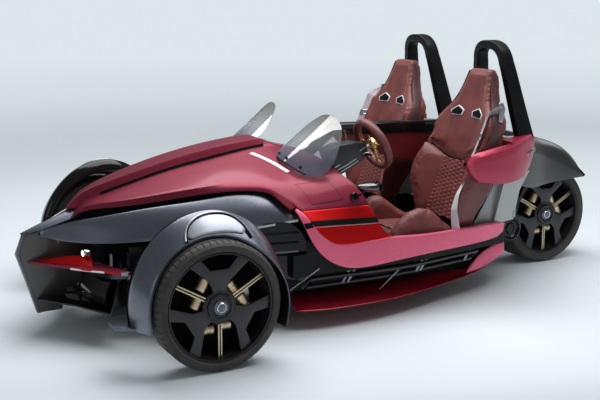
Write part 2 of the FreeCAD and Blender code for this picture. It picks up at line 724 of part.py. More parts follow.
def swing_arm():
    """Pivot tube with end caps, one arm on the right and the stub axle."""
    tube = Part.makeCylinder(PIVOT_RADIUS, 2 * PIVOT_HALF, V(PIVOT_X, -PIVOT_HALF, PIVOT_Z), V(0, 1, 0))
    caps = [disc(PIVOT_CAP_RADIUS, y, y + PIVOT_CAP_DEPTH, PIVOT_X, PIVOT_Z)
            for y in (-PIVOT_HALF - PIVOT_CAP_DEPTH, PIVOT_HALF)]
    ends = []
    for x, z, half, height in ((PIVOT_X - 5, PIVOT_Z, ARM_ROOT_HALF, ARM_ROOT_HEIGHT),
                               (REAR_AXLE_X, TYRE_RADIUS, ARM_TIP_HALF, ARM_TIP_HEIGHT)):
        low = z - height / 2
        top = z + height / 2
        ends.append([(x, ARM_Y - half, low), (x, ARM_Y + half, low), (x, ARM_Y + half, top),
                     (x, ARM_Y - half, top)])
    hub = disc(75, ARM_Y - ARM_TIP_HALF - 2, ARM_Y + 45, REAR_AXLE_X, TYRE_RADIUS)
    axle_end = REAR_TYRE_WIDTH / 2 - 85
    axle = disc(REAR_AXLE_RADIUS, ARM_Y, axle_end, REAR_AXLE_X, TYRE_RADIUS)
    return fuse([tube, loft(ends), hub, axle] + caps)


# ---- wheels ------------------------------------------------------------------
def tyre(x, y, width, rim_radius):
    """Low tyre with rounded shoulders, as one turned ring."""
    half = width / 2
    bead = half - 12
    profile = [V(x, y - bead, TYRE_RADIUS + rim_radius), V(x, y - half, TYRE_RADIUS + rim_radius + 14),
               V(x, y - half + 6, TYRE_RADIUS * 2 - 16), V(x, y - half + 24, TYRE_RADIUS * 2),
               V(x, y + half - 24, TYRE_RADIUS * 2), V(x, y + half - 6, TYRE_RADIUS * 2 - 16),
               V(x, y + half, TYRE_RADIUS + rim_radius + 14), V(x, y + bead, TYRE_RADIUS + rim_radius)]
    face = Part.Face(Part.makePolygon(profile + [profile[0]]))
    return face.revolve(V(x, y, TYRE_RADIUS), V(0, 1, 0), 360)


SPOKE_TURNS = (90, 210, 330)
ROD_TURNS = (30, 150, 270)
BRAKE_RADIUS = 150.0
BRAKE_THICKNESS = 10.0


def turned(shape, turn, x):
    """A wheel's piece, turned about the axle and moved to it."""
    shape.rotate(V(0, 0, 0), V(0, 1, 0), -turn)
    shape.translate(V(x, 0, TYRE_RADIUS))
    return shape


def wheel(x, y_in, y_out, rim_radius, hub_in, hub_out, face_y, bore):
    """Rim barrel, three broad forked spokes, three pairs of rods, hub and brake disc."""
    parts = [ring(rim_radius - FIT, rim_radius - 12, y_in, y_out, x, TYRE_RADIUS),
             disc(58, hub_in, hub_out, x, TYRE_RADIUS)]
    reach = rim_radius - 6
    for turn in SPOKE_TURNS:
        spoke = plate_xz([(30, -58), (110, -70), (reach * 0.9, -128), (reach * 1.1, -150),
                          (reach * 1.1, 150), (reach * 0.9, 128), (110, 70), (30, 58)],
                         face_y - 22, face_y)
        spoke = spoke.common(Part.makeCylinder(reach, 900, V(0, face_y - 450, 0), V(0, 1, 0)))
        notch = plate_xz([(reach * 0.66, -38), (reach * 1.2, -92), (reach * 1.2, 92),
                          (reach * 0.66, 38)], face_y - 30, face_y + 10)
        parts.append(turned(spoke.cut(notch), turn, x))
    for turn in ROD_TURNS:
        for offset in (-8, 8):
            pin = Part.makeCylinder(3.5, reach - 36, V(36, face_y - 12, offset), V(1, 0, 0))
            parts.append(turned(pin, turn, x))
    parts.append(disc(BRAKE_RADIUS, hub_in, hub_in + BRAKE_THICKNESS, x, TYRE_RADIUS))
    return fuse(parts).cut(disc(bore, y_in - 250, hub_out - 24, x, TYRE_RADIUS))


AXLE_RADIUS = 20.0
RIM_INSET = 8.0            # how far the rim's edges lie inside the tyre's sides
FRONT_HUB_IN_Y = FRONT_WHEEL_Y - 34
FRONT_HUB_OUT_Y = FRONT_WHEEL_Y + 96


def front_wheel():
    """The left front wheel."""
    half = FRONT_TYRE_WIDTH / 2 - RIM_INSET
    return wheel(FRONT_AXLE_X, FRONT_WHEEL_Y - half, FRONT_WHEEL_Y + half, RIM_RADIUS, FRONT_HUB_IN_Y,
                 FRONT_HUB_OUT_Y, FRONT_WHEEL_Y + half - 10, AXLE_RADIUS + SHAFT_FIT)


def rear_wheel():
    """The rear wheel, with its open face on the car's left."""
    half = REAR_TYRE_WIDTH / 2 - RIM_INSET
    return wheel(REAR_AXLE_X, -half, half, REAR_RIM_RADIUS, REAR_HUB_IN - half, half - REAR_HUB_OUT,
                 half - 14, REAR_AXLE_RADIUS + SHAFT_FIT)


# ---- front suspension and steering ---------------------------------------------
UPPER_Z = TYRE_RADIUS + 89
LOWER_Z = TYRE_RADIUS - 91
UPPER_ROOT_Z = FRAME_TOP_Z - 35
LOWER_ROOT_Z = FLOOR_Z + 40
KINGPIN_RADIUS = 12.0
EYE_RADIUS = 26.0
EYE_HALF = 12.0            # half the height of an arm's outer eye
EYE_GAP = 0.5
PIN_DEPTH = 28.0


ARM_TUBE_RADIUS = 11.0
DAMPER_SHARE = 0.57        # how far out along the lower arm the damper stands
DAMPER_RADIUS = 22.0


def suspension_arm(root_z, eye_z, stub_up):
    """Two tubes to an eye, with a kingpin stub that points into the knuckle."""
    tubes = [rod((FRONT_AXLE_X + dx, FRAME_Y - 5, root_z), (FRONT_AXLE_X, KINGPIN_Y - 16, eye_z),
                 ARM_TUBE_RADIUS) for dx in (-130, 110)]
    eye = rod((FRONT_AXLE_X, KINGPIN_Y, eye_z - EYE_HALF), (FRONT_AXLE_X, KINGPIN_Y, eye_z + EYE_HALF),
              EYE_RADIUS)
    stub = rod((FRONT_AXLE_X, KINGPIN_Y, eye_z),
               (FRONT_AXLE_X, KINGPIN_Y, eye_z + stub_up * (EYE_HALF + PIN_DEPTH)), KINGPIN_RADIUS)
    return tubes + [eye, stub]


def front_suspension():
    """Upper and lower arms, and a damper on the lower one, on each side."""
    y = FRAME_Y + (KINGPIN_Y - FRAME_Y) * DAMPER_SHARE
    z = LOWER_ROOT_Z + (LOWER_Z - LOWER_ROOT_Z) * DAMPER_SHARE
    damper = rod((FRONT_AXLE_X - 20, y, z + 4), (FRONT_AXLE_X - 40, FRAME_Y - 10, FRAME_TOP_Z - 10),
                 DAMPER_RADIUS)
    brace = rod((FRONT_AXLE_X - 60, y, z), (FRONT_AXLE_X + 60, y, z), 9)
    lower = fuse(suspension_arm(LOWER_ROOT_Z, LOWER_Z, 1) + [damper, brace])
    upper = fuse(suspension_arm(UPPER_ROOT_Z, UPPER_Z, -1))
    return Part.makeCompound([both(arm.cut(front_frame())) for arm in (lower, upper)])


KNUCKLE_POST = 22.0
LUG_Y = KINGPIN_Y - 3      # face of the knuckle's lug that carries the fender stay
CALIPER_RADII = (170.0, 100.0)
CALIPER_HALF_WIDTH = 27.0
CALIPER_HALF_HEIGHT = 55.0


def knuckle():
    """Upright between the kingpin stubs, with the stub axle, brake caliper and fender lug."""
    low = LOWER_Z + EYE_HALF + EYE_GAP
    high = UPPER_Z - EYE_HALF - EYE_GAP
    post = rod((FRONT_AXLE_X, KINGPIN_Y, low), (FRONT_AXLE_X, KINGPIN_Y, high), KNUCKLE_POST)
    carrier = disc(58, KINGPIN_Y + 4, KINGPIN_Y + 34, FRONT_AXLE_X, TYRE_RADIUS)
    axle = disc(AXLE_RADIUS, KINGPIN_Y, FRONT_HUB_OUT_Y - 30, FRONT_AXLE_X, TYRE_RADIUS)
    lug = box(FRONT_AXLE_X - 72, FRONT_AXLE_X - 10, LUG_Y, KINGPIN_Y + 16, TYRE_RADIUS - 22,
              TYRE_RADIUS + 22)
    disc_y = FRONT_HUB_IN_Y + BRAKE_THICKNESS / 2
    inner_y = disc_y - CALIPER_HALF_WIDTH
    caliper = ring(CALIPER_RADII[0], CALIPER_RADII[1], inner_y, disc_y + CALIPER_HALF_WIDTH,
                   FRONT_AXLE_X, TYRE_RADIUS)
    caliper = caliper.common(box(FRONT_AXLE_X - 200, FRONT_AXLE_X - 60, inner_y, inner_y + 100,
                                 TYRE_RADIUS - CALIPER_HALF_HEIGHT, TYRE_RADIUS + CALIPER_HALF_HEIGHT))
    slot = BRAKE_THICKNESS / 2 + RUNNING_GAP
    caliper = caliper.cut(disc(BRAKE_RADIUS + RUNNING_GAP, disc_y - slot, disc_y + slot,
                               FRONT_AXLE_X, TYRE_RADIUS))
    bracket = box(FRONT_AXLE_X - 130, FRONT_AXLE_X - 20, KINGPIN_Y + 20, inner_y + 2,
                  TYRE_RADIUS - 30, TYRE_RADIUS + 30)
    body = fuse([post, carrier, axle, lug, bracket, caliper])
    for start, end in ((low - 1, low + PIN_DEPTH), (high - PIN_DEPTH, high + 1)):
        body = body.cut(rod((FRONT_AXLE_X, KINGPIN_Y, start), (FRONT_AXLE_X, KINGPIN_Y, end),
                            KINGPIN_RADIUS + SHAFT_FIT))
    return body


FENDER_CLEAR = 14.0
FENDER_LIP_Y = FRONT_WHEEL_Y + 106
# angle up from the front, crown and lip beyond the tyre's radius,
# inner edge and crown inboard of the tyre's middle
FENDER_STATIONS = (
    (-14, 76, 34, 130, 82),
    (12, 72, 30, 137, 87),
    (42, 78, 28, 142, 97),
    (68, 100, 26, 144, 102),
    (92, 116, 26, 142, 100),
    (116, 112, 28, 134, 90),
    (140, 96, 34, 120, 66),
    (165, 66, 40, 92, 22),
    (202, 46, 38, 12, -43),
)
FENDER_FOOT_LOW_Z = TYRE_RADIUS - 100
FENDER_FOOT_TOP_Z = TYRE_RADIUS - 84
# x ahead of the tyre's front, y from the tyre's middle
FENDER_FOOT = ((124, -192), (132, -82), (17, 8), (12, -127))


def around_axle(radius, y, angle):
    """Point at a radius and angle round the front axle."""
    a = math.radians(angle)
    return (FRONT_AXLE_X + radius * math.cos(a), y, TYRE_RADIUS + radius * math.sin(a))


def front_fender():
    """Cycle fender close to the tyre, with a crown inboard and a sloping outer flank."""
    inner_r = TYRE_RADIUS + FENDER_CLEAR
    sections = []
    for angle, crown_out, lip_out, edge_in, crown_in in FENDER_STATIONS:
        crown = TYRE_RADIUS + crown_out
        edge_y = FRONT_WHEEL_Y - edge_in
        crown_y = FRONT_WHEEL_Y - crown_in
        sections.append([around_axle(inner_r, edge_y, angle),
                         around_axle(inner_r, FENDER_LIP_Y - 6, angle),
                         around_axle(TYRE_RADIUS + lip_out, FENDER_LIP_Y, angle),
                         around_axle(crown, crown_y, angle),
                         around_axle(crown - 14, edge_y + 6, angle)])
    around = disc(inner_r, KINGPIN_Y - 125, FENDER_LIP_Y + 100, FRONT_AXLE_X, TYRE_RADIUS)
    shell = loft(sections).cut(around)
    stay = box(FRONT_AXLE_X - 70, FRONT_AXLE_X - 42, LUG_Y - 8, LUG_Y, TYRE_RADIUS - 18,
               TYRE_RADIUS + inner_r + 12)
    corners = [(FRONT_AXLE_X + TYRE_RADIUS + ahead, FRONT_WHEEL_Y + out) for ahead, out in FENDER_FOOT]
    foot = plate_xy(corners, FENDER_FOOT_LOW_Z, FENDER_FOOT_TOP_Z)
    return fuse([shell, stay, foot])


# ---- write every node ------------------------------------------------------------
save("chassis_tub", chassis_tub())
save("battery_pack", battery_pack())
save("front_frame", front_frame())
save("side_rails", side_rails())
save("nose_keel", nose_keel())
save_pair("nose_wing", nose_wing())
save("nose_fins", nose_fins())
save("splitter", splitter())
save("headlamps", headlamps())
save("bonnet", bonnet())
save_pair("cowl", cowl())
save_pair("sill", sill())
save("side_skirts", side_skirts())
save("windscreens", windscreens())
save("mirrors", mirrors())
save("dashboard", dashboard())
save("steering_column", steering_column())
save("steering_wheel", steering_wheel())
save_pair("seat", seat())
save_pair("cushion", cushion())
save("centre_beam", centre_beam())
save("seat_belts", seat_belts())
save("rear_body", rear_body())
save_pair("shoulder_pod", shoulder_pod())
save_pair("roll_hoop", roll_hoop())
save("tail_fender", tail_fender())
save("swing_arm", swing_arm())
save("rear_wheel", rear_wheel())
save("rear_tyre", tyre(REAR_AXLE_X, 0, REAR_TYRE_WIDTH, REAR_RIM_RADIUS))
save("front_suspension", front_suspension())
save_pair("knuckle", knuckle())
save_pair("front_fender", front_fender())
save_pair("front_wheel", front_wheel())
save_pair("front_tyre", tyre(FRONT_AXLE_X, FRONT_WHEEL_Y, FRONT_TYRE_WIDTH, RIM_RADIUS))
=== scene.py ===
# %% [markdown]
# # An open three-wheeled car
#
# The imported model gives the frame: every node's place and size, and what turns on what. This
# lesson adds the looks around it. Each piece is modelled the way one would by hand: a primitive
# at its size and place, then edit-mode operators, then modifiers that are applied.

# %% Load the frame
import bpy
import bmesh
import json
import math
from mathutils import Matrix, Vector


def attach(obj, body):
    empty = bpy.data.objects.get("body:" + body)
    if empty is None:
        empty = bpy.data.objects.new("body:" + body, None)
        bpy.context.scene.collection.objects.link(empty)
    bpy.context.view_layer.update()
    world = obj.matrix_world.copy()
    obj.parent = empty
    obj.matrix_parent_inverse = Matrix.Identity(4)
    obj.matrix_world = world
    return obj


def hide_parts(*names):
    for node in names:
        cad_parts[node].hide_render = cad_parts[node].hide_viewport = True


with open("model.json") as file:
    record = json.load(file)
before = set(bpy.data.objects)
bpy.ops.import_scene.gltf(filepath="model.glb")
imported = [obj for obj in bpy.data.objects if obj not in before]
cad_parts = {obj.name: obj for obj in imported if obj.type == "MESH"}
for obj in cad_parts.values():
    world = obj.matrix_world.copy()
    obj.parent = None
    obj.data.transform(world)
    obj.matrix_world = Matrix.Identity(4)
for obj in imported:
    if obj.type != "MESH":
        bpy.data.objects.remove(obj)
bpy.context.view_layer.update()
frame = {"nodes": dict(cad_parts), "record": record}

# %% [markdown]
# ## Camera
#
# The camera stands ahead of the car and to its left, at about the eye level of someone who is
# standing. A long lens keeps the wheels close to round.

# %% Camera
YAW = math.radians(27.63)
PITCH = math.radians(11.68)
cam_data = bpy.data.cameras.new("camera")
cam_data.lens = 64.78
cam_data.sensor_width = 36.0
cam_data.clip_end = 500
camera = bpy.data.objects.new("camera", cam_data)
bpy.context.scene.collection.objects.link(camera)
camera.location = (2.8700, 5.1215, 1.7156)
looking = Vector((-math.sin(YAW) * math.cos(PITCH), -math.cos(YAW) * math.cos(PITCH),
                  -math.sin(PITCH)))
camera.rotation_euler = looking.to_track_quat("-Z", "Y").to_euler()
bpy.context.scene.camera = camera
bpy.context.scene.view_settings.view_transform = "Standard"

# %% [markdown]
# ## Nodes for materials
#
# Every finish is a small tree of nodes. These helpers add a node, join two sockets, do a sum and
# make a colour ramp.


def add(mat, kind, **settings):
    """Adds a node; settings name its properties, or its inputs by name with _ for a space."""
    node = mat.node_tree.nodes.new("ShaderNode" + kind)
    for key, value in settings.items():
        if hasattr(node, key):
            setattr(node, key, value)
        else:
            node.inputs[key.replace("_", " ")].default_value = value
    return node


def link(mat, source, target):
    """Joins an output to an input; each is (node, name or number)."""
    mat.node_tree.links.new(source[0].outputs[source[1]], target[0].inputs[target[1]])


def new_material(name):
    """An empty node material with its output and a Principled shader."""
    mat = bpy.data.materials.new(name)
    mat.use_nodes = True
    mat.node_tree.nodes.clear()
    out, shader = add(mat, "OutputMaterial"), add(mat, "BsdfPrincipled")
    link(mat, (shader, 0), (out, 0))
    return mat, shader


def combine(mat, operation, *values, kind="Math"):
    """A maths node; each value is a (node, output) socket or a constant."""
    node = add(mat, kind, operation=operation)
    for place, value in enumerate(values):
        if isinstance(value, tuple) and isinstance(value[0], bpy.types.Node):
            link(mat, value, (node, place))
        else:
            node.inputs[place].default_value = value
    return node


def ramp(mat, source, stops):
    """Colour ramp fed from a socket, with (place, colour) stops."""
    node = add(mat, "ValToRGB")
    bands = node.color_ramp.elements
    while len(bands) < len(stops):
        bands.new(0.5)
    for band, (place, colour) in zip(bands, stops):
        band.position = place
        band.color = (*colour, 1)
    link(mat, source, (node, 0))
    return node


def settle(shader, **values):
    """Sets the shader's inputs by name, with _ for a space."""
    for key, value in values.items():
        shader.inputs[key.replace("_", " ")].default_value = value

# %% [markdown]
# ## Floor
#
# The floor is one wide pale sheet. Near the car it is paper lit by the lamps, and its colour is
# painted darker towards the camera's side of the car: a painted shade. Further out it glows by
# itself, but only for the camera and in reflections, so that it meets the pale air without a
# horizon and still gives the car no light from below.

# %% Floor
FLOOR_RADIUS = 160
GLOW_REACH = 20            # metres from the middle at which the ramp ends


def studio_floor():
    """Pale floor whose far part is as bright, to the eye and in reflections, as the near part; its
    colour is painted darker towards the camera's side, a painted shade.
    """
    bpy.ops.mesh.primitive_circle_add(vertices=64, radius=FLOOR_RADIUS, fill_type="NGON")
    floor = bpy.context.object
    floor.name = "studio_floor"
    mat, shader = new_material("floor_paper")
    here = add(mat, "TexCoord"), "Object"
    away = combine(mat, "LENGTH", here, kind="VectorMath")
    share = combine(mat, "DIVIDE", (away, "Value"), GLOW_REACH)
    greys = ((0.06, 0.0), (0.11, 0.05), (0.18, 0.25), (0.5, 0.62), (0.9, 0.73))
    glow = ramp(mat, (share, 0), [(place, (grey, grey, grey)) for place, grey in greys])
    ray = add(mat, "LightPath")
    seen = combine(mat, "MAXIMUM", (ray, "Is Camera Ray"), (ray, "Is Glossy Ray"))
    seen = combine(mat, "MAXIMUM", (seen, 0), (ray, "Is Transmission Ray"))
    strength = combine(mat, "MULTIPLY", (glow, 0), (seen, 0))
    link(mat, (strength, 0), (shader, "Emission Strength"))
    # painted shade: the floor's colour is made darker towards the camera's side of the car
    ahead = combine(mat, "DOT_PRODUCT", here, (0.06, 0.26, 0), kind="VectorMath")
    paper_and_painted_shade = ramp(mat, (ahead, "Value"), [(0.0, (0.76, 0.82, 0.86)), (0.25, (0.73, 0.79, 0.83)),
                                         (0.42, (0.66, 0.71, 0.75)), (0.52, (0.52, 0.56, 0.59))])
    link(mat, (paper_and_painted_shade, 0), (shader, "Base Color"))
    settle(shader, Emission_Color=(0.82, 0.89, 0.93, 1), Roughness=0.6, Specular_IOR_Level=0.2)
    floor.data.materials.append(mat)


bpy.ops.object.select_all(action="DESELECT")
studio_floor()

# %% [markdown]
# ## Light
#
# A wide soft panel overhead gives most of the light, and draws the broad highlights that a
# painted body needs. Three weak panels, beside the car, ahead of it and behind it, keep its
# sides from going dark. The air is brighter to the camera than to the car, so the background
# stays pale while the shadows stay deep.

# %% Lamps and air
def soft_panel(name, place, target, size, power):
    """Rectangular area lamp aimed at a point."""
    lamp = bpy.data.lights.new(name, "AREA")
    lamp.shape = "RECTANGLE"
    lamp.size, lamp.size_y = size
    lamp.energy = power
    holder = bpy.data.objects.new(name, lamp)
    bpy.context.scene.collection.objects.link(holder)
    holder.location = place
    holder.rotation_euler = (Vector(target) - Vector(place)).to_track_quat("-Z", "Y").to_euler()


soft_panel("overhead_panel", (-0.2, 0.0, 3.5), (0, 0.1, 0.4), (5.0, 2.8), 215)
soft_panel("near_panel", (3.4, 8.0, 1.6), (0, 0, 0.5), (8.0, 2.6), 22)
soft_panel("nose_panel", (6.5, 0.5, 2.4), (0.5, 0, 0.5), (2.0, 2.0), 14)
soft_panel("tail_panel", (-5.5, -2.0, 3.0), (-0.5, 0, 0.6), (3.0, 2.0), 40)

AIR_FOR_ALL, AIR_FOR_CAMERA = 0.20, 0.50
world = bpy.data.worlds.new("studio_air")
bpy.context.scene.world = world
world.use_nodes = True
air = world.node_tree.nodes["Background"]
air.inputs[0].default_value = (0.80, 0.86, 0.90, 1)
air_ray = add(world, "LightPath"), "Is Camera Ray"
level = combine(world, "MULTIPLY_ADD", air_ray, AIR_FOR_CAMERA, AIR_FOR_ALL)
link(world, (level, 0), (air, 1))
print("floor and", len(bpy.data.lights), "lamps")

# %% [markdown]
# ## Paints, plastics and metals
#
# A car paint is three things: a pigment, tiny metal flakes and a clear coat. The flakes are
# cells of noise smaller than a millimetre that tint the colour and turn the normal a little, so
# the surface glitters without showing a pattern. The coat is a second, sharper reflection on
# top. Satin finishes use the same make with a rougher coat, or none.

# %% Grain, cells and bump
def object_coords(mat):
    """The piece's own coordinates, in metres."""
    return add(mat, "TexCoord"), "Object"


def bump_from(mat, shader, source, strength, distance):
    """Turns a height socket into a bump on the shader."""
    bump = add(mat, "Bump", Strength=strength, Distance=distance)
    link(mat, source, (bump, "Height"))
    link(mat, (bump, 0), (shader, "Normal"))


def varied(mat, shader, source, low, high, target="Base Color", start=0.3, end=0.7):
    """A ramp between two colours, or two grey levels, fed into one input."""
    def tone(v):
        return (v, v, v) if isinstance(v, float) else v
    node = ramp(mat, source, [(start, tone(low)), (end, tone(high))])
    link(mat, (node, 0), (shader, target))


def noise(mat, scale, detail=4.0, rough=0.55):
    """Noise in the piece's own space."""
    node = add(mat, "TexNoise", Scale=scale, Detail=detail, Roughness=rough)
    link(mat, object_coords(mat), (node, "Vector"))
    return node


def cells(mat, scale):
    """Voronoi cells in the piece's own space."""
    node = add(mat, "TexVoronoi", Scale=scale)
    link(mat, object_coords(mat), (node, "Vector"))
    return node


def paint(name, dark, light, metallic, roughness, coat, coat_roughness, flake=900):
    """Metallic paint under a clear coat."""
    mat, shader = new_material(name)
    specks = cells(mat, flake)
    varied(mat, shader, (specks, "Color"), dark, light, start=0.15, end=0.85)
    sheen = noise(mat, 2.2, 2.0)
    varied(mat, shader, (sheen, 0), roughness - 0.03, roughness + 0.04, "Roughness")
    bump_from(mat, shader, (specks, "Distance"), 0.05, 0.0002)
    settle(shader, Metallic=metallic, Coat_Weight=coat, Coat_Roughness=coat_roughness)
    return mat


def plastic(name, dark, light, roughness, grain=700, depth=0.15, coat=0.0, shine=0.5):
    """Moulded plastic with a fine grain."""
    mat, shader = new_material(name)
    mottle = noise(mat, 6.0)
    varied(mat, shader, (mottle, 0), dark, light)
    grains = noise(mat, grain, 2.0)
    varied(mat, shader, (grains, 0), roughness - 0.06, roughness + 0.06, "Roughness")
    bump_from(mat, shader, (grains, 0), depth, 0.0004)
    settle(shader, Coat_Weight=coat, Coat_Roughness=0.04, Specular_IOR_Level=shine)
    return mat


def metal(name, dark, light, roughness, brush=(1, 1, 1), scale=220.0, depth=0.06):
    """Metal with fine marks; brush stretches them along one axis."""
    mat, shader = new_material(name)
    stretch = add(mat, "Mapping", Scale=brush)
    link(mat, object_coords(mat), (stretch, 0))
    marks = add(mat, "TexNoise", Scale=scale, Detail=3.0)
    link(mat, (stretch, 0), (marks, "Vector"))
    varied(mat, shader, (marks, 0), dark, light)
    varied(mat, shader, (marks, 0), roughness - 0.08, roughness + 0.08, "Roughness")
    bump_from(mat, shader, (marks, 0), depth, 0.0003)
    settle(shader, Metallic=1.0)
    return mat


# %% Paints and metals of this car
BURGUNDY = paint("burgundy_metallic", (0.135, 0.0035, 0.019),
                 (0.25, 0.012, 0.044), 0.6, 0.47, 0.25, 0.12)
# Rose paint: a pinker hue of its own, made lighter as a painted reflection of the pale floor
ROSE_WITH_PAINTED_REFLECTION = paint("rose_metallic", (0.66, 0.078, 0.160), (0.94, 0.170, 0.300), 0.45,
             0.42, 0.4, 0.12)
# Pod paint, lighter than the burgundy: a painted reflection of the pale sheen on the pod's flank,
# over the body's own red
POD_PAINT_WITH_PAINTED_REFLECTION = paint("pod_metallic_painted_reflection", (0.32, 0.014, 0.046), (0.56, 0.050, 0.110),
                 0.5, 0.42, 0.4, 0.10)
DEEP_RED = paint("deep_red_gloss", (0.54, 0.0, 0.001), (0.66, 0.0003, 0.002), 0.7,
                 0.36, 0.12, 0.03)
TRIM_PALE = paint("pale_trim", (0.60, 0.60, 0.61), (0.74, 0.74, 0.75), 0.2, 0.35,
                  0.3, 0.1)
SKIRT_RED = paint("skirt_red_metallic", (0.34, 0.004, 0.018),
                  (0.50, 0.012, 0.040), 0.45, 0.36, 0.4, 0.08)
GUNMETAL = paint("gunmetal_metallic", (0.078, 0.083, 0.104),
                 (0.207, 0.218, 0.267), 0.85, 0.33, 0.35, 0.12)
GUNMETAL_PALE = paint("gunmetal_inset", (0.19, 0.20, 0.235), (0.36, 0.378, 0.435),
                      0.8, 0.34, 0.4, 0.12)
PALE_GREY = paint("pale_grey_metallic", (0.20, 0.21, 0.23), (0.34, 0.35, 0.38), 0.8,
                  0.38, 0.4, 0.12)
WHEEL_PAINT = paint("wheel_satin_black", (0.012, 0.012, 0.013),
                    (0.026, 0.025, 0.027), 0.45, 0.40, 0.25, 0.2)
FORK_GREY = paint("fork_satin_grey", (0.030, 0.029, 0.031), (0.060, 0.058, 0.062),
                  0.55, 0.40, 0.2, 0.2)
POD_GREY = paint("housing_dark_grey", (0.016, 0.017, 0.019), (0.032, 0.034, 0.037),
                 0.4, 0.42, 0.2, 0.25)
DARK_RED = paint("beam_dark_red", (0.085, 0.004, 0.006), (0.15, 0.008, 0.012),
                 0.2, 0.4, 0.5, 0.15)
TAIL_GREY = paint("tail_dark_grey", (0.022, 0.021, 0.021), (0.045, 0.043, 0.043),
                  0.5, 0.40, 0.35, 0.15)
SATIN_BLACK = plastic("satin_black_plastic", (0.004, 0.004, 0.0045),
                      (0.008, 0.008, 0.009), 0.38, shine=0.16)
GRAINED_BLACK = plastic("grained_black_plastic", (0.004, 0.004, 0.0045),
                        (0.008, 0.008, 0.009), 0.60, 900, 0.4, shine=0.06)
GROOVE_BLACK = plastic("groove_black", (0.003, 0.003, 0.003), (0.006, 0.006, 0.006),
                       0.7, 900, 0.3, shine=0.05)
GLOSS_BLACK = plastic("gloss_black", (0.003, 0.003, 0.0035), (0.006, 0.005, 0.006),
                      0.16, 300, 0.02, 0.3, shine=0.2)
FRAME_BLACK = plastic("powder_coated_steel", (0.006, 0.006, 0.007),
                      (0.012, 0.012, 0.013), 0.24, 1200, 0.12, 0.3, shine=0.4)
CHROME = metal("polished_chrome", (0.70, 0.71, 0.73), (0.80, 0.81, 0.82), 0.12,
               depth=0.01)
SILVER = metal("satin_aluminium", (0.42, 0.43, 0.45), (0.55, 0.56, 0.58), 0.34,
               (1, 12, 1), 160)
SATIN_PANEL = paint("silver_satin_panel", (0.38, 0.38, 0.375), (0.53, 0.53, 0.52),
                    0.45, 0.46, 0.15, 0.25)
# Chrome darkened to a tenth of its brightness: painted shade that stands in for the dark
# reflections on the mirror heads
CHROME_WITH_PAINTED_SHADE = metal("chrome_darkened_painted_shade", (0.10, 0.10, 0.105), (0.14, 0.14, 0.145),
                      0.12, depth=0.01)
STEEL = metal("machined_steel", (0.30, 0.30, 0.31), (0.45, 0.45, 0.46), 0.30,
              (1, 14, 1), 180)
GOLD = metal("gold_anodised", (0.62, 0.38, 0.15), (0.80, 0.54, 0.26), 0.26,
             (12, 1, 1), 200)
PALE_GOLD = metal("pale_gold_forging", (0.62, 0.48, 0.30), (0.78, 0.66, 0.46),
                  0.36, (1, 10, 1), 160)


# %% [markdown]
# ## Leather, webbing, rubber and glass
#
# Leather is a skin of small cells with valleys between them, a touch shinier on the ridges, over
# slow changes of tone. Webbing is two sets of threads at right angles. Tyre rubber is nearly
# black with a brown cast, dusty and dull. The screens are thin smoked plastic with a mirror-like
# outer face.

# %% Soft and clear finishes
def leather(name, dark, light, roughness=0.46):
    """Leather with a fine pebble grain."""
    mat, shader = new_material(name)
    tone = noise(mat, 9.0, 5.0)
    varied(mat, shader, (tone, 0), dark, light)
    grain = cells(mat, 520)
    varied(mat, shader, (grain, "Distance"), roughness - 0.06, roughness + 0.12, "Roughness")
    bump_from(mat, shader, (grain, "Distance"), 0.35, 0.0005)
    settle(shader, Sheen_Weight=0.08, Sheen_Roughness=0.4, Coat_Weight=0.12, Coat_Roughness=0.35)
    return mat


def webbing(name, dark, light):
    """Belt webbing: fine ribs along and threads across."""
    mat, shader = new_material(name)
    coord = object_coords(mat)
    waves = []
    for direction in ("Z", "Y"):
        wave = add(mat, "TexWave", bands_direction=direction, Scale=260.0, Distortion=0.4)
        link(mat, coord, (wave, "Vector"))
        waves.append(wave)
    both = combine(mat, "MULTIPLY", (waves[0], 1), (waves[1], 1))
    varied(mat, shader, (both, 0), dark, light, start=0.1, end=0.8)
    bump_from(mat, shader, (both, 0), 0.5, 0.0006)
    settle(shader, Roughness=0.7, Sheen_Weight=0.3)
    return mat


def rubber(name, dark, light):
    """Tyre rubber, dull and a little dusty."""
    mat, shader = new_material(name)
    dust = noise(mat, 14.0, 6.0)
    varied(mat, shader, (dust, 0), dark, light)
    fine = noise(mat, 900.0, 2.0)
    varied(mat, shader, (fine, 0), 0.62, 0.78, "Roughness")
    bump_from(mat, shader, (fine, 0), 0.25, 0.0004)
    return mat


def smoked(name):
    """Thin smoked screen whose tint changes with height, bluish low down, palest in the middle and
    brownish at the top: a painted reflection over a smoky tint.
    """
    mat, shader = new_material(name)
    split = add(mat, "SeparateXYZ")
    link(mat, object_coords(mat), (split, 0))
    height = add(mat, "MapRange", From_Min=0.80, From_Max=1.02)
    link(mat, (split, "Z"), (height, 0))
    # painted reflection: the tint runs bluish low down, pale in the middle and brownish at the top
    tone = ramp(mat, (height, 0),
                [(0.0, (0.44, 0.48, 0.60)), (0.5, (0.74, 0.73, 0.76)), (1.0, (0.40, 0.39, 0.36))])
    link(mat, (tone, 0), (shader, "Base Color"))
    film = noise(mat, 5.0, 2.0)
    varied(mat, shader, (film, 0), 0.02, 0.07, "Roughness")
    settle(shader, Transmission_Weight=0.86, Metallic=0.20, IOR=1.08, Coat_Weight=0.15,
           Coat_Roughness=0.06)
    return mat


def glowing(name, colour, strength):
    """A lit light guide with a faint prism pattern."""
    mat, shader = new_material(name)
    prisms = add(mat, "TexWave", Scale=120.0)
    link(mat, object_coords(mat), (prisms, "Vector"))
    varied(mat, shader, (prisms, 1), (0.7, 0.7, 0.7), (0.9, 0.9, 0.9))
    settle(shader, Roughness=0.3, Emission_Color=(*colour, 1), Emission_Strength=strength)
    return mat


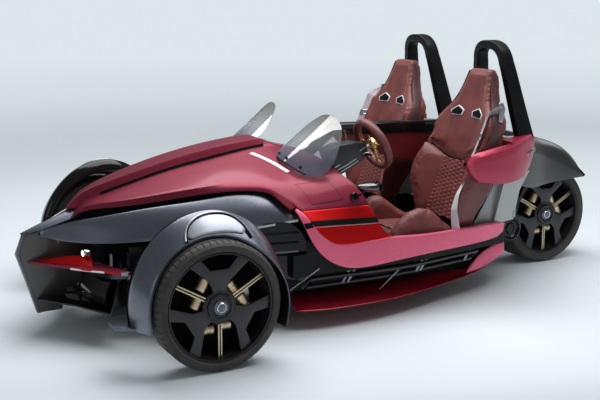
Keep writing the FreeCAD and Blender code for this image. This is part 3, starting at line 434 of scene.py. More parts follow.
LEATHER = leather("burgundy_brown_leather", (0.112, 0.020, 0.019),
                  (0.190, 0.042, 0.038))
DARK_LEATHER = leather("dark_piping_leather", (0.055, 0.016, 0.017),
                       (0.085, 0.026, 0.027))
WEBBING = webbing("lilac_grey_webbing", (0.30, 0.25, 0.29), (0.52, 0.46, 0.51))
PALE_TAPE = webbing("pale_tape", (0.62, 0.60, 0.64), (0.80, 0.78, 0.82))
RUBBER = rubber("tyre_rubber", (0.034, 0.030, 0.028), (0.064, 0.057, 0.052))
SCREEN_SMOKE_AND_PAINTED_REFLECTION = smoked("smoked_screen_painted_reflection")
WHITE_LIGHT = glowing("white_light_guide", (1.0, 0.87, 0.89), 0.12)
WARM_LIGHT = glowing("warm_lamp_lens", (1.0, 0.86, 0.62), 3.0)
KEEL_DARK = paint("keel_dark_metallic", (0.060, 0.055, 0.050), (0.10, 0.09, 0.085),
                  0.5, 0.36, 0.7, 0.1)
STITCH = plastic("stitching_thread", (0.26, 0.12, 0.10), (0.36, 0.18, 0.15), 0.7,
                 1500, 0.5)

SLOT_PAINT = {
    "burgundy_paint": BURGUNDY, "gunmetal_paint": GUNMETAL, "satin_black": SATIN_BLACK,
    "gloss_black": GLOSS_BLACK, "dark_frame": FRAME_BLACK, "silver_panel": SATIN_PANEL,
    "brown_leather": LEATHER, "belt_webbing": WEBBING, "smoked_glass": SCREEN_SMOKE_AND_PAINTED_REFLECTION,
    "mirror_chrome": CHROME, "tyre_rubber": RUBBER, "wheel_black": WHEEL_PAINT,
    "machined_steel": STEEL, "lamp_lens": CHROME,
}
for row in frame["record"]["subparts"]:
    node = frame["nodes"][row["node"]]
    for place in node.material_slots:
        place.material = SLOT_PAINT[row["material_slot"]]
print("painted", len(frame["nodes"]), "nodes from", len(SLOT_PAINT), "finishes")

# %% [markdown]
# ## Helpers for modelling
#
# Blender's operators work on whatever is selected, so every helper first deselects all and then
# selects one object. Positions are written in millimetres, as on the drawings, and turned into
# metres where they are used. Three ways of starting a piece cover most of a car: a grid laid on
# rows of stations makes a body panel, a filled outline pushed from station to station makes a
# solid limb, and an outline spun round an axle makes anything a lathe would make.

# %% Selecting and applying
MM = 0.001


def work_on(*objs):
    """Makes these the only selected objects, the first one active."""
    bpy.ops.object.select_all(action="DESELECT")
    for obj in objs:
        obj.select_set(True)
    bpy.context.view_layer.objects.active = objs[0]


def added(name):
    """Names the primitive just added and puts its place in its mesh."""
    obj = bpy.context.object
    obj.name = obj.data.name = name
    work_on(obj)
    bpy.ops.object.transform_apply()
    return obj


def edit(obj, kind="FACE"):
    """Opens edit mode with nothing selected."""
    work_on(obj)
    bpy.ops.object.mode_set(mode="EDIT")
    bpy.ops.mesh.select_mode(type=kind)
    bpy.ops.mesh.select_all(action="DESELECT")


def pick(obj, test, kind="faces"):
    """Selects the faces, edges or verts that pass a test, and counts them."""
    shape = bmesh.from_edit_mesh(obj.data)
    found = 0
    for part in getattr(shape, kind):
        if test(part):
            part.select_set(True)
            found += 1
    shape.select_flush_mode()
    bmesh.update_edit_mesh(obj.data)
    return found


def everything():
    """Selects all of the piece that is being edited."""
    bpy.ops.mesh.select_all(action="SELECT")


def leave():
    """Back to object mode."""
    bpy.ops.object.mode_set(mode="OBJECT")


def modify(obj, kind, **settings):
    """Adds a modifier and applies it."""
    work_on(obj)
    mod = obj.modifiers.new(kind.lower(), kind)
    for key, value in settings.items():
        setattr(mod, key, value)
    bpy.ops.object.modifier_apply(modifier=mod.name)


def tidy_faces(obj, merge=0.00005):
    """Merges doubles and points the faces outwards."""
    edit(obj)
    everything()
    bpy.ops.mesh.remove_doubles(threshold=merge)
    bpy.ops.mesh.normals_make_consistent(inside=False)
    leave()


# %% Three ways to start a piece
def points(rows):
    """Rows of millimetre points as metre vectors."""
    return [[Vector(p) * MM for p in row] for row in rows]


def laid_panel(name, rows, out, creased=()):
    """A grid laid on rows of stations, facing out; creased names the columns kept sharp."""
    rows = points(rows)
    across, along = len(rows[0]), len(rows)
    bpy.ops.mesh.primitive_grid_add(x_subdivisions=across - 1, y_subdivisions=along - 1, size=1)
    obj = added(name)
    order = sorted(obj.data.vertices, key=lambda v: (round(v.co.y, 4), round(v.co.x, 4)))
    assert len(order) == across * along, (name, len(order), across * along)
    column_of = {}
    for number, vert in enumerate(order):
        row, column = divmod(number, across)
        vert.co = rows[row][column]
        column_of[vert.index] = column
    obj.data.update()
    faced = sum((p.normal * p.area for p in obj.data.polygons), Vector()).dot(Vector(out))
    edit(obj, "EDGE")
    if faced < 0:
        everything()
        bpy.ops.mesh.flip_normals()
        bpy.ops.mesh.select_all(action="DESELECT")
    if creased:
        pick(obj, lambda e: column_of[e.verts[0].index] == column_of[e.verts[1].index]
             and column_of[e.verts[0].index] in creased, "edges")
        bpy.ops.transform.edge_crease(value=1)
    leave()
    return obj


def drawn_out(name, outlines):
    """A filled outline extruded from station to station."""
    outlines = points(outlines)
    bpy.ops.mesh.primitive_circle_add(vertices=len(outlines[0]), radius=1, fill_type="NGON")
    obj = added(name)
    for vert, spot in zip(obj.data.vertices, outlines[0]):
        vert.co = spot
    edit(obj)
    everything()
    for before, after in zip(outlines, outlines[1:]):
        bpy.ops.mesh.extrude_region_move()
        shape = bmesh.from_edit_mesh(obj.data)
        for vert in [v for v in shape.verts if v.select]:
            nearest = min(range(len(before)), key=lambda i: (before[i] - vert.co).length_squared)
            vert.co = after[nearest]
        bmesh.update_edit_mesh(obj.data)
    everything()
    bpy.ops.mesh.normals_make_consistent(inside=False)
    leave()
    return obj


def spun(name, outline, centre, steps=96, axis=(0, 1, 0)):
    """A closed outline of (radius, place along the axle) points spun round an axle."""
    axis, centre = Vector(axis).normalized(), Vector(centre) * MM
    side = axis.orthogonal().normalized()
    bpy.ops.mesh.primitive_circle_add(vertices=len(outline), radius=1, fill_type="NOTHING")
    obj = added(name)
    for vert, (radius, along) in zip(obj.data.vertices, outline):
        vert.co = centre + (side * radius + axis * along) * MM
    edit(obj)
    everything()
    bpy.ops.mesh.spin(steps=steps, angle=2 * math.pi, center=centre, axis=axis)
    leave()
    tidy_faces(obj)
    return obj


def plate(name, outline, low, high, flat="y"):
    """A flat outline pushed from low to high along one axis; outline gives the other two."""
    def spot(a, b, c):
        return {"x": (c, a, b), "y": (a, c, b), "z": (a, b, c)}[flat]
    return drawn_out(
        name, [[spot(a, b, low) for a, b in outline], [spot(a, b, high) for a, b in outline]])


def tube(name, path, radius, sides=12):
    """Round bar along a smooth path, made a mesh."""
    bpy.ops.curve.primitive_nurbs_path_add()
    obj = bpy.context.object
    obj.location = (0, 0, 0)
    curve = obj.data
    curve.splines.clear()
    line = curve.splines.new("NURBS")
    line.points.add(len(path) - 1)
    for spot, place in zip(line.points, path):
        spot.co = (*(Vector(place) * MM), 1)
    line.order_u = 3
    line.use_endpoint_u = True
    line.resolution_u = 6
    curve.bevel_depth = radius * MM
    curve.bevel_resolution = max(1, sides // 4 - 1)
    curve.use_fill_caps = True
    work_on(obj)
    bpy.ops.object.convert(target="MESH")
    obj = added(name)
    tidy_faces(obj, 0.00002)
    return obj


def block(name, low, high):
    """A box between two corners."""
    low, high = Vector(low) * MM, Vector(high) * MM
    bpy.ops.mesh.primitive_cube_add(size=1, location=(low + high) / 2, scale=high - low)
    return added(name)


# %% Finishing a piece
def skin(obj, thickness, edge=0.8, smooth=2):
    """Subdivides a laid panel, gives it its wall, inwards, and softens its edges."""
    if smooth:
        modify(obj, "SUBSURF", levels=smooth, render_levels=smooth,
               boundary_smooth="PRESERVE_CORNERS")
    modify(obj, "SOLIDIFY", thickness=thickness * MM, offset=-1, use_even_offset=False)
    if edge:
        soften(obj, edge, 2, 35)


def soften(obj, width, steps=2, bend=30):
    """Bevels the edges that turn by more than bend degrees."""
    modify(obj, "BEVEL", width=width * MM, segments=steps, limit_method="ANGLE",
           angle_limit=math.radians(bend))


def shade(obj, angle):
    """Smooth shading that keeps edges over an angle crisp."""
    work_on(obj)
    bpy.ops.object.shade_smooth_by_angle(angle=math.radians(angle), keep_sharp_edges=True)


def set_piece(obj, mat, *nodes, body="body", slot=None, angle=32):
    """Paints a finished piece, shades it, hangs it on its body's empty and hides the nodes it
    stands for.
    """
    obj.data.materials.clear()
    obj.data.materials.append(mat)
    shade(obj, angle)
    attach(obj, body)
    if nodes:
        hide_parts(*nodes)


def copied(obj, name, change):
    """A copy with its own mesh, changed by a matrix; a mirror turns its faces right again."""
    twin = obj.copy()
    twin.data = obj.data.copy()
    twin.name = twin.data.name = name
    bpy.context.scene.collection.objects.link(twin)
    twin.data.transform(change)
    if change.determinant() < 0:
        twin.data.flip_normals()
    return twin


MIRROR = Matrix.Scale(-1, 4, (0, 1, 0))


def pair(obj, stem, mat, *nodes, body="body", **finish):
    """Finishes a left piece and its mirrored twin; nodes and body may hold {side}."""
    twin = copied(obj, "right_" + stem, MIRROR)
    obj.name = obj.data.name = "left_" + stem
    for piece, side in ((obj, "left"), (twin, "right")):
        own = [n.format(side=side) for n in nodes if "{side}" in n or side == "left"]
        set_piece(piece, mat, *own, body=body.format(side=side), **finish)
    return obj, twin


def panel_pair(stem, rows, out, wall, mat, *nodes, creased=(), edge=0.8, smooth=2, **finish):
    """A laid panel with its wall, finished on both sides."""
    panel = laid_panel(stem, rows, out, creased)
    skin(panel, wall, edge, smooth)
    pair(panel, stem, mat, *nodes, **finish)


def solid_pair(stem, outlines, width, mat, *nodes, steps=2, bend=30, **finish):
    """A drawn-out solid with softened edges, finished on both sides."""
    solid = drawn_out(stem, outlines)
    soften(solid, width, steps, bend)
    pair(solid, stem, mat, *nodes, **finish)


def plate_pair(stem, outline, low, high, width, mat, flat="y", steps=2, **finish):
    """A plate with softened edges, finished on both sides."""
    flat_piece = plate(stem, outline, low, high, flat)
    soften(flat_piece, width, steps)
    pair(flat_piece, stem, mat, **finish)


def joined(name, *objs):
    """Several pieces as one object."""
    work_on(*objs)
    bpy.ops.object.join()
    obj = bpy.context.object
    obj.name = obj.data.name = name
    return obj

# %% [markdown]
# ## Bonnet and scuttle
#
# The bonnet is a folded sheet: a raised spine down the middle, a groove beside it, a gently
# hollow flank, a crease at the shoulder and a narrow flange that turns down to the wheel
# blades. Ahead of the cockpit the crease fades, and the same sheet rolls over the shoulder
# down to the door panels. A half is laid as a grid with one row for each station along the car
# and one column for each line that runs lengthwise. The lines that stay sharp are creased
# before the surface is subdivided, and the halves are merged on the centre plane.

# %% Lay the bonnet
# x, spine top y and z, foot of the spine y and z, groove y and z, flank y and z, shoulder y and z
BONNET_LINES = [
    (1425, 20, 674, 34, 634, 40, 630, 58, 629, 78, 626),
    (1330, 46, 714, 60, 674, 66, 668, 104, 664, 160, 645),
    (1200, 70, 756, 86, 715, 92, 708, 172, 694, 250, 671),
    (1000, 80, 812, 95, 772, 101, 765, 238, 744, 370, 717),
    (800, 81, 855, 98, 808, 104, 800, 276, 778, 434, 741),
    (640, 81, 878, 98, 835, 104, 828, 292, 799, 496, 739),
    (520, 79, 891, 96, 852, 102, 846, 296, 803, 492, 728),
    (456, 78, 896, 95, 858, 100, 852, 298, 804, 488, 727),
    (418, 80, 866, 92, 859, 98, 853, 299, 804, 485, 728),
    (330, 76, 842, 92, 838, 98, 836, 300, 803, 489, 738),
    (228, 72, 818, 92, 815, 98, 815, 300, 806, 498, 752),
]
# the front edge runs back from the beak's flank to the foot of the spine
PROW = [(1490, 0, 604), (1486, 10, 603), (1462, 16, 602), (1446, 24, 606), (1452, 44, 595),
        (1480, 61, 571)]
# flange below the shoulder crease: x, shoulder y and z, lower edge y and z
FLANGE = [(1480, 61, 571, 62, 566), (1425, 78, 626, 84, 604), (1330, 160, 645, 167, 622),
          (1200, 250, 671, 260, 640), (1000, 370, 717, 383, 686), (800, 434, 741, 449, 708),
          (640, 496, 739, 507, 702), (598, 521, 706, 533, 676), (544, 561, 654, 571, 634),
          (516, 580, 620, 584, 611)]
# front to rear along each level of the scuttle's side
SCUTTLE_ROWS = [[(640, 496, 739), (520, 492, 728), (456, 488, 727), (418, 485, 728),
                 (330, 489, 738), (228, 498, 752)],
                [(598, 521, 706), (500, 524, 704), (444, 526, 704), (398, 528, 704),
                 (305, 534, 706), (176, 540, 712)],
                [(544, 561, 654), (462, 562, 652), (416, 565, 651), (366, 568, 650),
                 (272, 573, 650), (138, 577, 654)],
                [(492, 599, 603), (415, 595, 602), (372, 596, 601), (322, 596, 601),
                 (232, 597, 600), (112, 600, 600)],]
half_rows = [PROW] + [[(x, 0, a[1] - 2)] + [(x, a[i], a[i + 1]) for i in range(0, 10, 2)]
                      for x, *a in BONNET_LINES]
top_half = laid_panel("top_half", half_rows, (0, 0, 1), creased=(1, 2, 3))
flange_half = laid_panel("flange_half",
                         [[(x, a, b), (x + (640 - x) * 0.25 if x < 640 else x, c, d)]
                          for x, a, b, c, d in FLANGE], (0, 1, 0), creased=(0,))
side_half = laid_panel("side_half", SCUTTLE_ROWS, (0, 1, 0.4))
left_half = joined("scuttle_left", top_half, flange_half, side_half)
tidy_faces(left_half, 0.0004)
right_half = copied(left_half, "scuttle_right", MIRROR)
bonnet_skin = joined("bonnet_skin", left_half, right_half)
tidy_faces(bonnet_skin, 0.0004)
skin(bonnet_skin, 7, edge=1.2)
set_piece(bonnet_skin, BURGUNDY, "bonnet")
print("bonnet", len(bonnet_skin.data.polygons), "faces")

# %% [markdown]
# ## Strips and lines laid on a panel
#
# A light guide, a groove or the line round a lid follows the panel it lies on. Its flat outline
# is drawn high above the panel, subdivided, and a Shrinkwrap modifier projects it straight down
# onto the surface. Then it gets its own thickness.

# %% Laying flat outlines on a surface
ABOVE = 2000               # a height above the whole car, to project down from


def laid_on(name, base, outline, lift, thickness, cuts):
    """A flat outline projected straight down onto a panel, lifted and thickened."""
    bpy.ops.mesh.primitive_circle_add(vertices=len(outline), radius=1, fill_type="NGON")
    obj = added(name)
    for vert, (x, y) in zip(obj.data.vertices, outline):
        vert.co = Vector((x, y, ABOVE)) * MM
    edit(obj)
    everything()
    bpy.ops.mesh.normals_make_consistent(inside=False)
    bpy.ops.mesh.subdivide(number_cuts=cuts)
    leave()
    if obj.data.polygons[0].normal.z < 0:
        obj.data.flip_normals()
    modify(obj, "SHRINKWRAP", target=base, wrap_method="PROJECT", use_project_z=True,
           use_negative_direction=True, use_positive_direction=False, offset=lift * MM)
    modify(obj, "SOLIDIFY", thickness=thickness * MM, offset=-1)
    return obj


# %% Light guides and grooves on the bonnet
GUIDE_CORNERS = [(566, 160), (544, 152), (452, 396), (476, 404)]
guide = laid_on("guide", bonnet_skin, GUIDE_CORNERS, 2.2, 3, 9)
pair(guide, "bonnet_light_guide", WHITE_LIGHT)
panel_pair("bonnet_groove",
           [[(x, a[2] - 0.5, a[3] + 7), (x, a[2] + 1.5, a[3] - 1), (x, a[4] + 2, a[5] + 0.5)]
            for x, *a in BONNET_LINES[1:8]], (0, 1, 0.5), 1.5, GROOVE_BLACK, creased=(1,), edge=0)

# %% [markdown]
# ## Door panels
#
# Below the scuttle's edge the side of the car is a separate glossy panel, set inside the
# ribbon that frames it. A dark stripe crosses it from the ribbon's front edge to the cockpit.
# The panel is laid as one set of rows and cut into three bands at the stripe.

# %% Lay the door panel in three bands
DOOR_ROWS = [
    [(490, 598, 602), (410, 596, 600), (325, 597, 599), (228, 598, 598), (112, 601, 598)],
    [(470, 618, 573), (395, 612, 571), (308, 612, 570), (210, 614, 567), (97, 620, 563)],
    [(460, 629, 555), (381, 624, 552), (295, 624, 549), (199, 626, 545), (89, 629, 541)],
    [(448, 639, 529), (365, 635, 525), (280, 635, 521), (184, 637, 517), (76, 639, 513)],
    [(431, 649, 504), (346, 646, 495), (262, 647, 490), (168, 648, 486), (62, 648, 482)],
    [(392, 655, 464), (318, 654, 455), (236, 655, 451), (146, 656, 449), (40, 655, 452)],
    [(344, 659, 433), (290, 660, 428), (214, 661, 427), (126, 660, 430), (12, 659, 438)],
]
for stem, first, last, mat, nodes in (("scuttle_door", 0, 2, DEEP_RED, ()),
                                      ("door_stripe", 2, 3, SATIN_BLACK, ()),
                                      ("door_panel", 3, 6, DEEP_RED, ("{side}_cowl",))):
    panel_pair(stem, DOOR_ROWS[first:last + 1], (0, 1, 0), 6, mat, *nodes, edge=0.6)

# %% [markdown]
# ## Ribbon
#
# One painted ribbon leaves the bonnet's flange, drops round the front of the door panel in a
# large curve and runs back under the cockpit as the sill. Its face is almost flat, and a ledge
# behind its top edge closes the gap to the tub.

# %% Lay the ribbon
# lower or front edge, edge next to the panel, hidden edge of the ledge
RIBBON = [
    ((524, 586, 607), (512, 582, 617), (504, 572, 612)),
    ((512, 605, 585), (482, 606, 593), (474, 594, 589)),
    ((498, 628, 545), (457, 632, 550), (449, 620, 546)),
    ((470, 648, 469), (430, 652, 504), (422, 640, 502)),
    ((430, 656, 405), (390, 658, 463), (384, 645, 466)),
    ((370, 663, 349), (342, 662, 432), (338, 647, 436)),
    ((300, 671, 315), (288, 664, 424), (286, 645, 428)),
    ((220, 678, 301), (218, 665, 423), (218, 642, 427)),
    ((100, 681, 306), (100, 666, 432), (100, 641, 434)),
    ((0, 682, 316), (0, 668, 432), (0, 641, 436)),
    ((-200, 674, 328), (-200, 664, 418), (-200, 636, 420)),
    ((-500, 616, 324), (-500, 612, 414), (-500, 584, 416)),
    ((-700, 560, 322), (-690, 580, 413), (-690, 552, 415)),
    ((-786, 528, 333), (-770, 568, 405), (-770, 540, 407)),
]
# the ribbon's rose paint is partly a painted reflection of the floor
panel_pair("ribbon",
           [[low,
             tuple((a + b) / 2 + (1.5 if i == 1 else 0) for i, (a, b) in enumerate(zip(low, top))),
             top, back] for low, top, back in RIBBON], (0, 1, 0), 9, ROSE_WITH_PAINTED_REFLECTION, "{side}_sill",
           creased=(2,), edge=1.2)
stripe_end = laid_panel("stripe_end",
                        [[(497, 630.5, 548), (458, 634, 551)],
                         [(488, 637.5, 521), (446, 641, 527)]], (0, 1, 0))
modify(stripe_end, "SOLIDIFY", thickness=0.003, offset=-1)
pair(stripe_end, "ribbon_stripe", SATIN_BLACK)
pinstripe = laid_panel("pinstripe",
                       [[(446, 640.4, 526), (365, 636.8, 524), (280, 636.8, 520), (184, 638.8, 516),
                         (76, 640.6, 512)],
                        [(444, 641, 522), (363, 637.6, 520), (278, 637.6, 516), (182, 639.6, 512),
                         (74, 641.4, 508)]], (0, 1, 0))
modify(pinstripe, "SOLIDIFY", thickness=0.002, offset=-1)
pair(pinstripe, "door_pinstripe", SILVER)

# %% [markdown]
# ## Lid
#
# A small lid lies flush in the bonnet's shoulder, ahead of each screen. Only the dark gap round
# it is seen, so it is made as four thin strips laid on the skin.

# %% The line round the lid
LID_CORNERS = [(481, 500), (313, 500), (254, 580), (422, 580)]


def line_on(name, base, corners, width):
    """A closed thin line along an outline, laid on a panel."""
    strips = []
    for a, b in zip(corners, corners[1:] + corners[:1]):
        run = Vector((b[0] - a[0], b[1] - a[1])).normalized()
        off = Vector((-run.y, run.x)) * width / 2
        outline = [(a[0] + off.x, a[1] + off.y), (b[0] + off.x, b[1] + off.y),
                   (b[0] - off.x, b[1] - off.y), (a[0] - off.x, a[1] - off.y)]
        strips.append(laid_on(name, base, outline, 0.5, 1.2, 7))
    return joined(name, *strips)


lid = line_on("lid", bonnet_skin, LID_CORNERS, 2.2)
pair(lid, "scuttle_lid_line", SATIN_BLACK)

# %% [markdown]
# ## Nose
#
# The nose is an open arrangement of blades: an upright keel with a roof-shaped cap, two long
# wheel blades that sweep back from the beak, a pair of thin red fins with a light guide in
# their edge, and an arrow-shaped splitter. The blades are laid as grids with a crisp lower edge.
# The headlamps are small bright barrels with a warm lens, each on a bent stem.

# %% Keel and beak
keel = plate("keel_blade",
             [(1704, 497), (1744, 399), (1653, 96), (1529, 98), (1501, 202), (1402, 232),
              (1402, 558), (1450, 583)], -13, 13)
soften(keel, 3, 3)
set_piece(keel, KEEL_DARK, "nose_keel")
EDGE_RING = ((0.6, -15, 0), (-16, -15, -1), (-16, 15, -1), (0.6, 15, 0))
edge_strip = drawn_out("edge_strip", [[(x + dx, y, z + dz) for dx, y, dz in EDGE_RING]
                                      for x, z in ((1704, 500), (1744, 399), (1653, 95))])
soften(edge_strip, 1.5)
set_piece(edge_strip, GUNMETAL)
# x, half width, edge z, ridge z
CAP = [(1714, 8, 496, 502), (1640, 40, 511, 535), (1520, 56, 549, 578), (1425, 58, 579, 612)]
cap = laid_panel("cap", [[(x, -half, edge), (x, -half * 0.5, (edge + ridge) / 2 + 4), (x, 0, ridge),
                          (x, half * 0.5, (edge + ridge) / 2 + 4), (x, half, edge)]
                         for x, half, edge, ridge in CAP], (0, 0, 1), creased=(2,))
skin(cap, 10, edge=1.2)
set_piece(cap, GUNMETAL)

# %% Long wheel blades
# x, top edge y and z, crown y and z, flank y and z, lower edge y and z, return lip y and z
BLADE = [
    (1628, 32, 512, 36, 508, 40, 500, 44, 490, 30, 488),
    (1560, 74, 538, 84, 527, 92, 505, 98, 470, 84, 470),
    (1480, 122, 564, 138, 551, 152, 514, 162, 461, 146, 462),
    (1340, 213, 594, 240, 580, 282, 533, 315, 475, 300, 476),
    (1160, 326, 638, 352, 622, 400, 570, 425, 497, 409, 498),
    (960, 402, 660, 428, 644, 477, 590, 500, 513, 484, 514),
    (774, 447, 694, 474, 670, 522, 606, 543, 526, 528, 526),
    (650, 480, 690, 506, 664, 545, 602, 561, 538, 546, 538),
    (560, 506, 650, 528, 628, 558, 586, 573, 547, 560, 547),
    (505, 532, 606, 546, 594, 566, 573, 582, 552, 570, 552),
]
panel_pair("wheel_blade", [[(x, a[i], a[i + 1]) for i in range(0, 10, 2)] for x, *a in BLADE],
           (0, 1, 0.5), 5, GUNMETAL, "{side}_nose_wing", creased=(3,), edge=1.0)
lip = laid_panel(
    "lip", [[(x, a[6] + 1.5, a[7] + 9), (x, a[6] + 2, a[7] - 1)] for x, *a in BLADE[5:]], (0, 1, 0))
modify(lip, "SOLIDIFY", thickness=0.004, offset=0)
pair(lip, "blade_lip", SILVER)
panel_pair("blade_under_lip",
           [[(x, a[6] - 1, a[7] + 0.5), (x, a[6] - 13, a[7] - 5), (x, a[6] - 60, a[7] + 12)]
            for x, *a in BLADE[:6]], (0, 0, -1), 3, SATIN_BLACK, edge=0)

# %% Red fins with a light guide in the edge
FIN = [(1688, 15), (1610, 118), (1535, 220), (1475, 294), (1412, 360), (1335, 452), (1316, 440),
       (1345, 330), (1402, 172), (1428, 15)]
plate_pair("nose_fin", FIN, 353, 363, 2.5, DEEP_RED, steps=3, flat="z")
plate_pair("fin_light_guide", [(1538, 219), (1416, 361), (1410, 355), (1531, 214)], 350.5, 360, 1.5,
           WHITE_LIGHT, flat="z")
plate_pair("fin_tip", [(1356, 432), (1332, 457), (1318, 444), (1343, 420)], 350, 366, 2, PALE_GREY,
           flat="z")
panel_pair("fin_cheek",
           [[(1640, 62, 364), (1640, 40, 372)], [(1560, 150, 366), (1560, 110, 392)],
            [(1490, 215, 366), (1490, 165, 404)], [(1440, 262, 366), (1430, 190, 405)]],
           (1, 0, 0.5), 4, DEEP_RED, edge=0)

# %% Splitter and end plates
LOW_LIP = [(1652, 15), (1585, 112), (1517, 205), (1465, 312), (1413, 413), (1332, 428), (1345, 330),
           (1398, 15)]
plate_pair("splitter_lip", LOW_LIP, 160, 171, 3, GLOSS_BLACK, steps=3, flat="z")
plate_pair("splitter_end", [(1413, 158), (1330, 158), (1302, 328), (1370, 330)], 418, 430, 3,
           GLOSS_BLACK, steps=3)
panel_pair("nose_basin",
           [[(1402, y, z + 118), (1425, y, z + 60), (1440, y, z + 20), (1420, y, z - 8),
             (1395, y, z - 12)]
            for y, z in ((18, 172), (120, 168), (230, 170), (320, 180), (400, 205))], (1, 0, 0), 5,
           GLOSS_BLACK, "splitter", edge=0)
panel_pair("nose_inner_panel",
           [[(x, y, 171), (x - 4, y, 230), (x - 8, y, 290), (x - 12, y, 352)]
            for x, y in ((1428, 14), (1418, 110), (1400, 200), (1374, 300), (1352, 380),
                         (1340, 424))], (1, 0.3, 0), 4, GLOSS_BLACK, edge=0, smooth=1)

# %% Headlamps
housing = spun("housing",
               [(0.4, 1470), (15, 1469), (20, 1463), (21, 1440), (15, 1428), (0.4, 1427)],
               (0, 202, 419), 40, (1, 0, 0))
soften(housing, 1)
pair(housing, "headlamp_housing", CHROME, "headlamps")
lens = spun("lens", [(0.3, 1474), (9, 1473), (15, 1469.5), (15, 1466), (0.3, 1466)], (0, 202, 419),
            40, (1, 0, 0))
pair(lens, "headlamp_lens", WARM_LIGHT)
stem = tube("stem", [(1440, 200, 410), (1428, 198, 385), (1412, 192, 368), (1385, 184, 362)], 6)
pair(stem, "headlamp_stem", CHROME)

# %% [markdown]
# ## Front fenders
#
# Each front wheel has its own close fender, which steers with it. Seen from the side it is a
# wide crescent, seen from ahead it leans in from a thin lip to a crown on the inside. It is
# laid round the axle: one row for each angle and one column for each line along the hoop. A
# glossy cover closes its inner side, and a dull lining hides the hollow over the tyre.

# %% Stations round the axle
AXLE_X, AXLE_Z = 1072, 296


def round_axle(radius, y, angle):
    """Millimetre point at a radius and an angle up from the front."""
    a = math.radians(angle)
    return (AXLE_X + radius * math.cos(a), y, AXLE_Z + radius * math.sin(a))


# angle, then radius and y of the inner edge, inner crown, crown, flank, lip, and the lip's return
HOOP_ROWS = [
    (-16, 322, 700, 350, 706, 372, 748, 352, 828, 330, 904, 311, 902),
    (-2, 320, 698, 350, 704, 371, 746, 350, 828, 326, 906, 311, 904),
    (14, 318, 697, 350, 703, 369, 744, 348, 826, 324, 905, 310, 903),
    (30, 318, 698, 352, 704, 371, 744, 350, 822, 322, 899, 309, 897),
    (46, 320, 702, 358, 708, 377, 748, 354, 820, 320, 889, 308, 887),
    (60, 328, 710, 370, 716, 389, 754, 362, 822, 318, 882, 307, 880),
    (75, 338, 720, 384, 726, 402, 762, 370, 824, 316, 877, 306, 875),
    (90, 344, 728, 393, 733, 411, 768, 376, 826, 315, 876, 306, 874),
    (105, 344, 734, 394, 739, 412, 774, 378, 830, 315, 880, 306, 878),
    (120, 338, 740, 388, 746, 406, 784, 374, 840, 317, 892, 306, 890),
    (136, 330, 750, 376, 757, 395, 800, 368, 858, 321, 912, 311, 910),
    (152, 322, 764, 358, 771, 376, 820, 356, 882, 326, 938, 320, 936),
    (168, 316, 784, 340, 792, 358, 846, 345, 906, 330, 960, 326, 957),
    (184, 314, 820, 330, 828, 344, 876, 338, 926, 331, 974, 328, 970),
    (203, 312, 868, 322, 876, 338, 908, 335, 942, 330, 972, 328, 966),
]
hoop_rows = [[round_axle(a[i], a[i + 1], angle) for i in range(0, 12, 2)]
             for angle, *a in HOOP_ROWS]
fender = laid_panel("fender", hoop_rows, (0, 0, 1), creased=(4,))
edit(fender, "EDGE")
pick(fender, lambda e: all(2 < v.index // 6 < 12 for v in e.verts) and
     all(v.index % 6 == 2 for v in e.verts), "edges")
bpy.ops.transform.edge_crease(value=0.45)
leave()
skin(fender, 4, edge=0.8)
pair(fender, "fender_shell", GUNMETAL, "{side}_front_fender", body="{side}_corner")
print("fender", len(fender.data.polygons), "faces")

# %% Framed panel in the flank
def on_hoop(angle, y, lift=0.0):
    """Point on the fender's flank, at an angle round the axle and a distance out."""
    for low, high in zip(HOOP_ROWS, HOOP_ROWS[1:]):
        if low[0] <= angle <= high[0]:
            t = (angle - low[0]) / (high[0] - low[0])
            a = [p + (q - p) * t for p, q in zip(low, high)]
            break
    lines = [(a[5], a[6]), (a[7], a[8]), (a[9], a[10])]
    for (r0, y0), (r1, y1) in zip(lines, lines[1:]):
        if y <= y1 or y1 == lines[-1][1]:
            t = max(0.0, min(1.0, (y - y0) / (y1 - y0)))
            bulge = 6 * math.sin(math.pi * t) if y0 == a[6] else 4 * math.sin(math.pi * t)
            return round_axle(r0 + (r1 - r0) * t + bulge + lift, y, angle)


PANEL_MIDDLE, PANEL_FOOT = 94, 874     # the angle it narrows to, and how far out its foot is
# angle and y along the top edge of the panel, from the front lip over to the rear lip
PANEL_TOP = [(66, 874), (68, 856), (72, 832), (78, 812), (86, 801), (96, 800), (105, 808),
             (112, 826), (118, 852), (123, 878)]
inset_rows = []
for angle, y in PANEL_TOP:
    inset_rows.append([on_hoop(angle + (PANEL_MIDDLE - angle) * t * 0.12,
                               y + (PANEL_FOOT - y) * t, 1.6) for t in (0, 0.25, 0.5, 0.75, 1)])
panel_pair("fender_inset", inset_rows[1:-1], (0, 0.5, 1), 2, GUNMETAL_PALE, edge=0.4, smooth=1,
           body="{side}_corner")
# the black line just inside the silver frame is a painted shadow of the frame
for stem, inwards, radius, mat in (("fender_frame", 0, 4.6, SILVER),
                                   ("fender_groove", 3.0, 4.2, SATIN_BLACK)):
    path = [on_hoop(angle + (PANEL_MIDDLE - angle) * inwards / 100, y + inwards * 1.6, 1.8)
            for angle, y in PANEL_TOP]
    pair(tube(stem, path, radius), stem, mat, body="{side}_corner")

